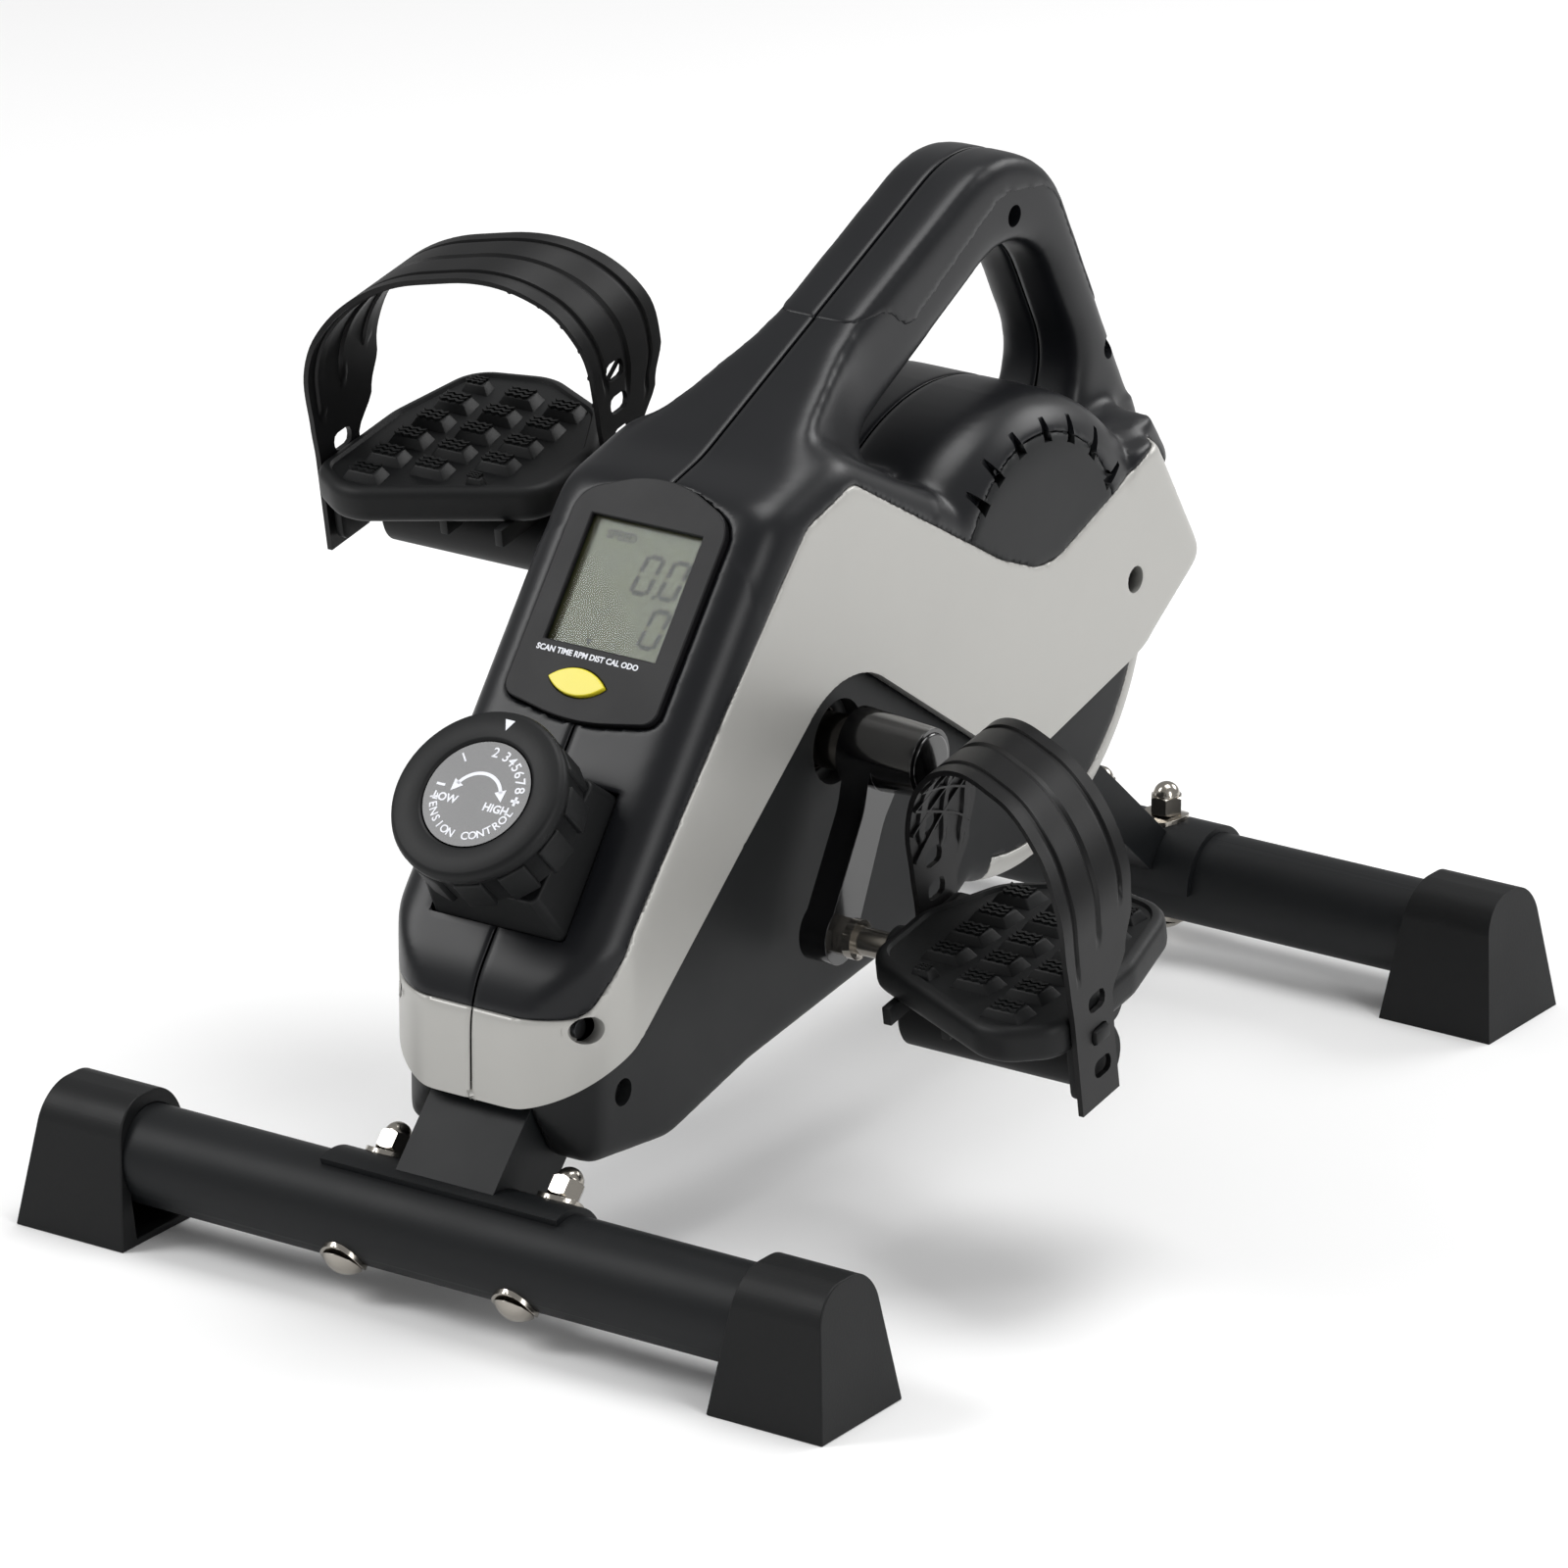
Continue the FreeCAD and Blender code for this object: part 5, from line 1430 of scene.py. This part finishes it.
# ------------------------------------------------------------------------ pedals
@dataclass
class Pedal:
    """One pedal: contoured tread, bearing tube, lacing tabs, ballast and strap."""

    side: Side
    tilt_deg: float = 10.0
    inner: float = 104.0
    edge: float = 4.5
    low: float = -2.0
    high: float = 14.0
    tread_drop: float = 1.5
    lug_across: float = 24.0
    lug_along: float = 17.0
    lug_drift: float = 2.4
    lug_base: tuple = (19.0, 12.0)
    lug_top: tuple = (13.0, 8.4)
    lug_height: float = 5.2
    lug_round: float = 0.7
    ridge: float = 1.1
    strap_skew: float = 50.0
    foot: tuple = (156.0, 30.0)
    span: float = 104.0
    strap_wall: float = 2.4
    strap_rise: float = 92.0
    platform: list = field(default_factory=lambda: [
        (0, -27, 16), (80, -62, 22), (104, -46, 14), (104, 10, 30), (94, 56, 20), (56, 64, 24),
        (18, 46, 22), (0, 12, 20)])

    def matrix(self) -> Matrix:
        """Lays the pedal's own frame, spindle at the origin, in the model's."""
        place = joint_place("pedal_%s_spin" % self.side.word)
        mirror = Matrix.Diagonal((self.side.value, 1, 1, 1))
        turn = Matrix.Rotation(math.radians(self.tilt_deg), 4, "X")
        return Matrix.Translation((0, place.y, place.z)) @ turn @ mirror

    def finish(self, node: str, bm: bmesh.types.BMesh, finish: Finish) -> None:
        """Lay a mesh in place and dress it as the stand-in of a CAD node.

        Args:
            node: CAD node.
            bm: its mesh in the pedal's own frame.
            finish: its material.
        """
        bmesh.ops.transform(bm, matrix=self.matrix(), verts=bm.verts)
        dressed(node + SKIN, bm, finish, "pedal_" + self.side.word, [node], 38.0)

    def build(self) -> None:
        """Make and dress every piece of the pedal."""
        word = self.side.word
        self.finish("pedal_body_" + word, self.body_shape(), GRAINED_PP)
        self.finish("pedal_strap_" + word, self.strap(), STRAP_TPE)
        dress_node("pedal_weight_" + word, BALLAST)

    def body_shape(self) -> bmesh.types.BMesh:
        """Platform, lugs, bearing tube, ribs, tabs and pegs."""
        corners = [(x + self.inner, y, r) for x, y, r in self.platform]
        deck = prism(rounded(corners), self.low, self.high, FLOOR_PLANE, self.edge, 4)
        top = max(deck.faces, key=lambda f: f.calc_center_median().z * 10 + f.calc_area())
        bmesh.ops.inset_region(deck, faces=[top], thickness=0.6, use_even_offset=True)
        bmesh.ops.inset_region(deck, faces=[top], thickness=0.9, depth=-self.tread_drop,
                               use_even_offset=True)
        shapes = [deck, *self.lugs(corners), barrel(10.0, 99.0, 202.0, 0.0, 0.0, 0.8, 48)]
        for low, high in ((118.0, 122.0), (146.0, 150.0), (176.0, 180.0)):
            shapes.append(block((low, -40, -9.5), (high, 38, self.low + 0.5), 0.5))
        for outer in (False, True):
            shapes.extend(self.tab(outer))
        return joined(shapes)

    def tab(self, outer: bool) -> list:
        """Upright lacing tab with its peg.

        Args:
            outer: the tab beside the outer strap foot, or the inner one.

        Returns:
            Its plate and peg, and the inner tab's arm.
        """
        base = 207.9 if outer else 104.1
        sign = 1 if outer else -1
        shift = 0.0 if outer else self.strap_skew
        low, high = sorted((base, base - sign * 4.0))
        outline = [(-37 + shift, -26, 4), (-9 + shift, -26, 4), (-9 + shift, 8, 4),
                   (-37 + shift, 8, 4)]
        plate = prism(rounded(outline), low, high, SIDE_PLANE, 0.8, 2)
        start, end = sorted((base - sign * 1.0, base + sign * 5.4))
        peg = block((start, -27.9 + shift, -2.9), (end, -18.1 + shift, 2.9), 0.8)
        if outer:
            return [plate, peg]
        arm = block((self.inner, -36.0 + shift, self.low),
                    (self.inner + 26.0, -10.0 + shift, 8.0), 2.0)
        return [plate, peg, arm]

    def lugs(self, corners: Sequence[Corner]) -> list:
        """Staggered tread lugs, each with three zigzag ridges across its top.

        Args:
            corners: outline of the platform.

        Returns:
            The lugs that fit inside it.
        """
        inside = rounded(offset_corners(corners, -4.5), 6.0)
        shapes = []
        floor = self.high - self.tread_drop - 0.2
        for column in range(-1, 6):
            for row in range(-6, 7):
                x = self.inner + 8.0 + column * self.lug_across + row * 0.5
                y = row * self.lug_along + column * self.lug_drift
                for share in (1.0, 0.72, 0.5):
                    wide, deep = self.lug_base[0] / 2 * share, self.lug_base[1] / 2 * share
                    if all(inside_outline(inside, (x + sx * wide, y + sy * deep))
                           for sx in (-1, 1) for sy in (-1, 1)):
                        shapes.extend(self.lug(x, y, floor, share))
                        break
        return shapes

    def lug(self, x: float, y: float, floor: float, share: float) -> list:
        """One trapezoid lug with chamfered flanks and its ridges.

        Args:
            x: middle of the lug.
            y: middle of the lug.
            floor: height that it stands on.
            share: its size as a share of a full lug's.

        Returns:
            The block and its three ridges.
        """
        lean = 1.6
        bm = bmesh.new()
        base, top = ([bm.verts.new((x + sx * size[0] / 2 * share + lean * sy * 0.6,
                                    y + sy * size[1] / 2 * share, level))
                      for sx, sy in ((-1, -1), (1, -1), (1, 1), (-1, 1))]
                     for size, level in ((self.lug_base, floor),
                                         (self.lug_top, floor + self.lug_height - 0.9)))
        bm.faces.new(base[::-1])
        cap = bm.faces.new(top)
        for index in range(4):
            other = (index + 1) % 4
            bm.faces.new((base[index], base[other], top[other], top[index]))
        flanks = [e for e in bm.edges if abs(e.verts[0].co.z - e.verts[1].co.z) > 1]
        round_edges(bm, list(cap.edges) + flanks, self.lug_round, 2, clamp=True)
        shapes = [bm]
        level = floor + self.lug_height - 1.2
        for strip in (-1, 0, 1):
            outline = []
            steps = 6
            for edge in (1, -1):
                for step in range(steps + 1):
                    t = step / steps if edge == 1 else 1 - step / steps
                    along = (t - 0.5) * (self.lug_top[0] - 1.0) * share
                    wave = 0.6 if step % 2 == 0 else -0.6
                    beside = (strip * 2.8 + wave + edge * -0.7) * share
                    outline.append(Vector((x + along, y + beside)))
            shapes.append(prism(outline, level, level + 0.3 + self.ridge))
        return shapes

    def strap(self) -> bmesh.types.BMesh:
        """Arched strap: grooved sheet bent over the foot, with slots and an inner lattice."""
        tool = holder("strap", self.strap_sheet())
        half = 4.0
        for x, shift, steps in ((92.0, self.strap_skew, range(-1, 4)), (206.0, 0.0, range(-1, 2))):
            for step in steps:
                z = 15.0 * step
                slot = prism(rounded([(-29 + shift, z - half, 3), (-17 + shift, z - half, 3),
                                      (-17 + shift, z + half, 3), (-29 + shift, z + half, 3)]),
                             x, x + 16.0, SIDE_PLANE)
                carve(tool, slot, "DIFFERENCE", Cut.KEEP, Solver.MANIFOLD)
        return joined([released(tool), *self.lattice()])

    def arch(self, grow: float = 0.0) -> list:
        """Line of the strap across the foot, from outer foot to inner foot, in (x, z).

        Args:
            grow: how far outside the strap's own line it runs.

        Returns:
            Points spread evenly along it.
        """
        left, right = self.inner - 3.4 - grow, self.inner + 107.4 + grow
        top = self.strap_rise + grow
        corners = [(right, -30), (right, top, 46 + grow), (left, top + 4, 52 + grow), (left, -30)]
        return self.evened(rounded(corners, 3.0), 96)

    def evened(self, line: Outline, count: int) -> list:
        """Points spread evenly along an open line.

        Args:
            line: 2-D points.
            count: number of stretches wanted.

        Returns:
            The new points, one more than the stretches.
        """
        lengths = [0.0]
        for first, second in zip(line, line[1:]):
            lengths.append(lengths[-1] + (second - first).length)
        spread = []
        index = 0
        for step in range(count + 1):
            want = lengths[-1] * step / count
            while index < len(line) - 2 and lengths[index + 1] < want:
                index += 1
            span = lengths[index + 1] - lengths[index]
            spread.append(line[index].lerp(line[index + 1], (want - lengths[index]) / span))
        return spread

    def edges_at(self, z: float) -> tuple:
        """Rear and front edge of the strap at a height, as its outline widens and narrows.

        Args:
            z: the height.

        Returns:
            The two y values.
        """
        table = [(-32, -38, -11), (-8, -38, -11), (12, -38, -10), (28, -39, 2), (44, -40, 9),
                 (64, -39, 12), (82, -37, 12), (104, -34, 11), (130, -34, 11)]
        for low, high in zip(table, table[1:]):
            if low[0] <= z <= high[0]:
                t = (z - low[0]) / (high[0] - low[0])
                t = t * t * (3 - 2 * t)
                return (low[1] + (high[1] - low[1]) * t, low[2] + (high[2] - low[2]) * t)
        return table[-1][1:]

    def strap_sheet(self) -> bmesh.types.BMesh:
        """Closed skin of the strap, with three long rounded grooves pressed into its outside."""
        line = self.arch()
        across = 72
        bm = bmesh.new()
        rings = []
        for index, point in enumerate(line):
            inward = self.bearings(line, index)[1]
            rear, front = self.edges_at(point.y)
            ring = []
            for step in range(across + 1):
                t = step / across
                y = rear + (front - rear) * t + self.skew(point.x)
                sink = self.groove(index / (len(line) - 1), t)
                place = point + inward * sink
                ring.append(bm.verts.new((place.x, y, place.y)))
            rings.append(ring)
        for first, second in zip(rings, rings[1:]):
            for step in range(across):
                bm.faces.new((first[step], first[step + 1], second[step + 1], second[step]))
        middle = Vector((self.foot[0], 0.0, self.foot[1]))
        bm.normal_update()
        outward = sum((f.normal.dot(f.calc_center_median() - middle) > 0) for f in bm.faces)
        if outward < len(bm.faces) / 2:
            bmesh.ops.reverse_faces(bm, faces=bm.faces)
        bmesh.ops.solidify(bm, geom=bm.faces[:], thickness=self.strap_wall)
        bmesh.ops.recalc_face_normals(bm, faces=bm.faces)
        return bm

    def bearings(self, line: Outline, index: int) -> tuple:
        """Direction of the strap's line at a point, and the way in to the foot.

        Args:
            line: points (x, z) of the line.
            index: the point.

        Returns:
            Two unit vectors: along the line, and inwards.
        """
        tangent = (line[min(len(line) - 1, index + 1)] - line[max(0, index - 1)]).normalized()
        normal = Vector((tangent.y, -tangent.x))
        foot = Vector((self.foot[0], self.foot[1]))
        return tangent, normal if normal.dot(foot - line[index]) > 0 else -normal

    def skew(self, x: float) -> float:
        """How far the strap has drifted along Y where it crosses a given x.

        Args:
            x: the place across the pedal.

        Returns:
            The drift.
        """
        return self.strap_skew * (self.inner + self.span - x) / self.span

    def groove(self, along: float, across: float) -> float:
        """Depth of the pressed grooves at a place on the strap.

        Args:
            along: share of its length, from the outer foot.
            across: share of its width, from the rear edge.

        Returns:
            The depth.
        """
        depth = 0.0
        for centre, start, end in ((0.16, 0.19, 0.78), (0.5, 0.22, 0.80), (0.84, 0.25, 0.82)):
            lengthwise = smooth_step((along - start) / 0.012) * smooth_step((end - along) / 0.012)
            cross = smooth_step((0.036 - abs(across - centre)) / 0.016)
            depth = max(depth, cross * lengthwise)
        return 1.2 * depth

    def lattice(self) -> list:
        """Slanted ribs inside the strap's crown."""
        line = self.arch(-self.strap_wall - 0.2)
        count = len(line) - 1
        shapes = []
        for start in range(60, 76, 4):
            for lean in (1, -1):
                bm = bmesh.new()
                sections = []
                steps = 8
                for step in range(steps + 1):
                    t = step / steps
                    index = int(start + lean * (t - 0.5) * 8)
                    if not 1 <= index <= count - 1:
                        break
                    point = line[index]
                    tangent, inward = self.bearings(line, index)
                    rear, front = self.edges_at(point.y)
                    y = rear + 2 + (front - rear - 4) * t + self.skew(point.x)
                    a = point - inward * 0.4
                    b = point + inward * 1.1
                    sections.append([bm.verts.new((p.x + tangent.x * s, y, p.y + tangent.y * s))
                                     for p, s in ((a, -0.8), (a, 0.8), (b, 0.6), (b, -0.6))])
                for first, second in zip(sections, sections[1:]):
                    for corner in range(4):
                        other = (corner + 1) % 4
                        bm.faces.new((first[corner], first[other], second[other], second[corner]))
                if len(sections) > 1:
                    bm.faces.new(sections[0])
                    bm.faces.new(sections[-1][::-1])
                shapes.append(bm)
        return shapes


def smooth_step(value: float) -> float:
    """Ease from 0 to 1.

    Args:
        value: how far along; outside 0 to 1 it is held at the ends.

    Returns:
        The eased value.
    """
    value = min(1.0, max(0.0, value))
    return value * value * (3 - 2 * value)


def inside_outline(outline: Outline, point: Sequence[float]) -> bool:
    """Whether a point lies inside a closed outline.

    Args:
        outline: points in order.
        point: the point.

    Returns:
        True if it does.
    """
    x, y = point
    inside = False
    for first, second in zip(outline, outline[1:] + outline[:1]):
        if (first[1] > y) != (second[1] > y):
            if x < first[0] + (y - first[1]) * (second[0] - first[0]) / (second[1] - first[1]):
                inside = not inside
    return inside


# ------------------------------------------------------------------ frame and drive
@dataclass
class Chassis:
    """Stabiliser tubes with end caps, leaning tubes, fasteners and the hidden frame."""

    cap_round: float = 1.8
    saddle_round: float = 1.2

    def build(self) -> None:
        """Dress the frame's pieces, softening those with moulded or pressed edges."""
        for end in ("front", "rear"):
            softened(end + "_stabiliser_tube", POWDER_COAT, BASE, 0.6)
            softened(end + "_saddle", POWDER_COAT, BASE, self.saddle_round)
            for side in Side:
                softened("%s_%s_foot_cap" % (end, side.word), GRAINED_PP, BASE, self.cap_round, 4)
        softened("neck_tube", POWDER_COAT, BASE, 0.8)
        softened("rear_post", POWDER_COAT, BASE, 0.8)
        for node in ("stabiliser_washers", "stabiliser_acorn_nuts", "stabiliser_bolts"):
            softened(node, NICKEL, BASE, 0.4, 2)
        for node in ("frame_plate_left", "frame_plate_right"):
            dress_node(node, POWDER_COAT)
        softened("casing_screws", DARK_STEEL, BASE, 0.25, 2)


@dataclass
class Drive:
    """Cranks, spindles and the drive inside the casing."""

    sleeve_radius: float = 11.8

    def build(self) -> None:
        """Dress the moving pieces of the drive."""
        for side in Side:
            softened("crank_arm_" + side.word, GLOSS_LACQUER, "crank", 1.4, 4)
        softened("crank_end_caps", GLOSS_LACQUER, "crank", 1.0)
        sleeves = [barrel(self.sleeve_radius, *side.reach(41.5, 55.5), *CRANK_PLACE, 0.8, 48)
                   for side in Side]
        dressed("axle_sleeves", joined(sleeves), NICKEL, "crank")
        softened("pedal_spindles", NICKEL, "crank", 0.4, 2)
        finishes = {DARK_STEEL: ("crank_axle", "flywheel_axle", "bracket_pin"),
                    NICKEL: ("crank_bearings", "pulley_magnet", "flywheel_bearings",
                             "flywheel_nuts", "brake_magnets"),
                    GRAINED_PP: ("drive_pulley", "speed_sensor"),
                    SHEATH: ("drive_belt", "sensor_lead"),
                    GREY_IRON: ("flywheel", "flywheel_pulley"),
                    POWDER_COAT: ("magnet_bracket",)}
        for finish, nodes in finishes.items():
            for node in nodes:
                dress_node(node, finish)


# ------------------------------------------------------------------------- studio
@dataclass(frozen=True)
class Lamp:
    """Large soft area light aimed at a point."""

    name: str
    place: tuple
    size: tuple
    watts: float
    target: tuple = (0.0, 0.0, 0.18)

    def build(self) -> None:
        """Add the light to the scene."""
        light = bpy.data.lights.new(self.name, "AREA")
        light.shape = "RECTANGLE"
        light.size, light.size_y = self.size
        light.energy = self.watts
        lamp = placed(self.name, light)
        lamp.location = self.place
        aim = Vector(self.target) - Vector(self.place)
        lamp.rotation_euler = aim.to_track_quat("-Z", "Y").to_euler()


@dataclass
class Studio:
    """Pale floor, soft lights, surround and camera."""

    place: tuple = (2.3167, -3.4558, 1.6985)
    forward: tuple = (-0.52354, 0.77703, -0.34947)
    up: tuple = (-0.19786, 0.28808, 0.93694)
    lens_mm: float = 245.62
    sensor_mm: float = 36.0
    floor_half: float = 6.0
    floor_colour: str = "#f4f4f4"
    surround: float = 0.42
    lamps: tuple = (Lamp("key", (-1.9, -1.5, 2.2), (1.0, 1.5), 42.0),
                    Lamp("fill", (2.7, -0.9, 1.2), (0.9, 1.7), 26.0),
                    Lamp("top", (0.2, 0.5, 2.6), (1.3, 1.3), 34.0),
                    Lamp("rim", (0.9, 2.4, 1.6), (1.4, 1.0), 26.0))

    def build(self) -> None:
        """Set the stage."""
        self.floor()
        self.world()
        for lamp in self.lamps:
            lamp.build()
        self.camera()

    def floor(self) -> None:
        """Pale sheet that the machine stands on."""
        bm = bmesh.new()
        bmesh.ops.create_grid(bm, x_segments=1, y_segments=1, size=self.floor_half)
        mesh = bpy.data.meshes.new("floor")
        bm.to_mesh(mesh)
        bm.free()
        sheet = Finish("white seamless paper", self.floor_colour, "", 0.9, grain_mm=3.0,
                       grain_depth=0.0, gloss_spread=0.02, colour_spread=0.01, patch_mm=400.0,
                       specular=0.1)
        mesh.materials.append(sheet.build())
        placed("floor", mesh)

    def world(self) -> None:
        """White surround: plain white to the camera, softer as light."""
        world = bpy.data.worlds.new("surround")
        bpy.context.scene.world = world
        tree = bare_tree(world)
        rays = add_node(tree, "ShaderNodeLightPath")
        seen = add_node(tree, "ShaderNodeBackground", {"Color": (1, 1, 1, 1), "Strength": 1.0})
        light = add_node(tree, "ShaderNodeBackground",
                         {"Color": (1, 1, 1, 1), "Strength": self.surround})
        both = add_node(tree, "ShaderNodeMixShader", {}, {"Fac": rays.outputs["Is Camera Ray"]})
        tree.links.new(light.outputs["Background"], both.inputs[1])
        tree.links.new(seen.outputs["Background"], both.inputs[2])
        add_node(tree, "ShaderNodeOutputWorld", {}, {"Surface": both.outputs["Shader"]})

    def camera(self) -> None:
        """Camera of the three-quarter view."""
        lens = bpy.data.cameras.new("camera")
        lens.lens = self.lens_mm
        lens.sensor_width = self.sensor_mm
        lens.clip_end = 100.0
        ahead = Vector(self.forward).normalized()
        right = ahead.cross(Vector(self.up)).normalized()
        above = right.cross(ahead)
        turn = Matrix((right, above, -ahead)).transposed().to_4x4()
        camera = placed("camera", lens)
        camera.matrix_world = Matrix.Translation(self.place) @ turn
        bpy.context.scene.camera = camera
        bpy.context.scene.view_settings.view_transform = "Standard"


def main() -> None:
    """Build the machine's sub-assemblies in order, then the studio."""
    logging.basicConfig(level=logging.INFO, stream=sys.stdout, format="%(name)s: %(message)s")
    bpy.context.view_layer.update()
    Chassis().build()
    Casing().build()
    Console().build()
    TensionControl().build()
    Drive().build()
    for side in Side:
        Pedal(side).build()
    Studio().build()


if __name__ == "__main__":
    main()
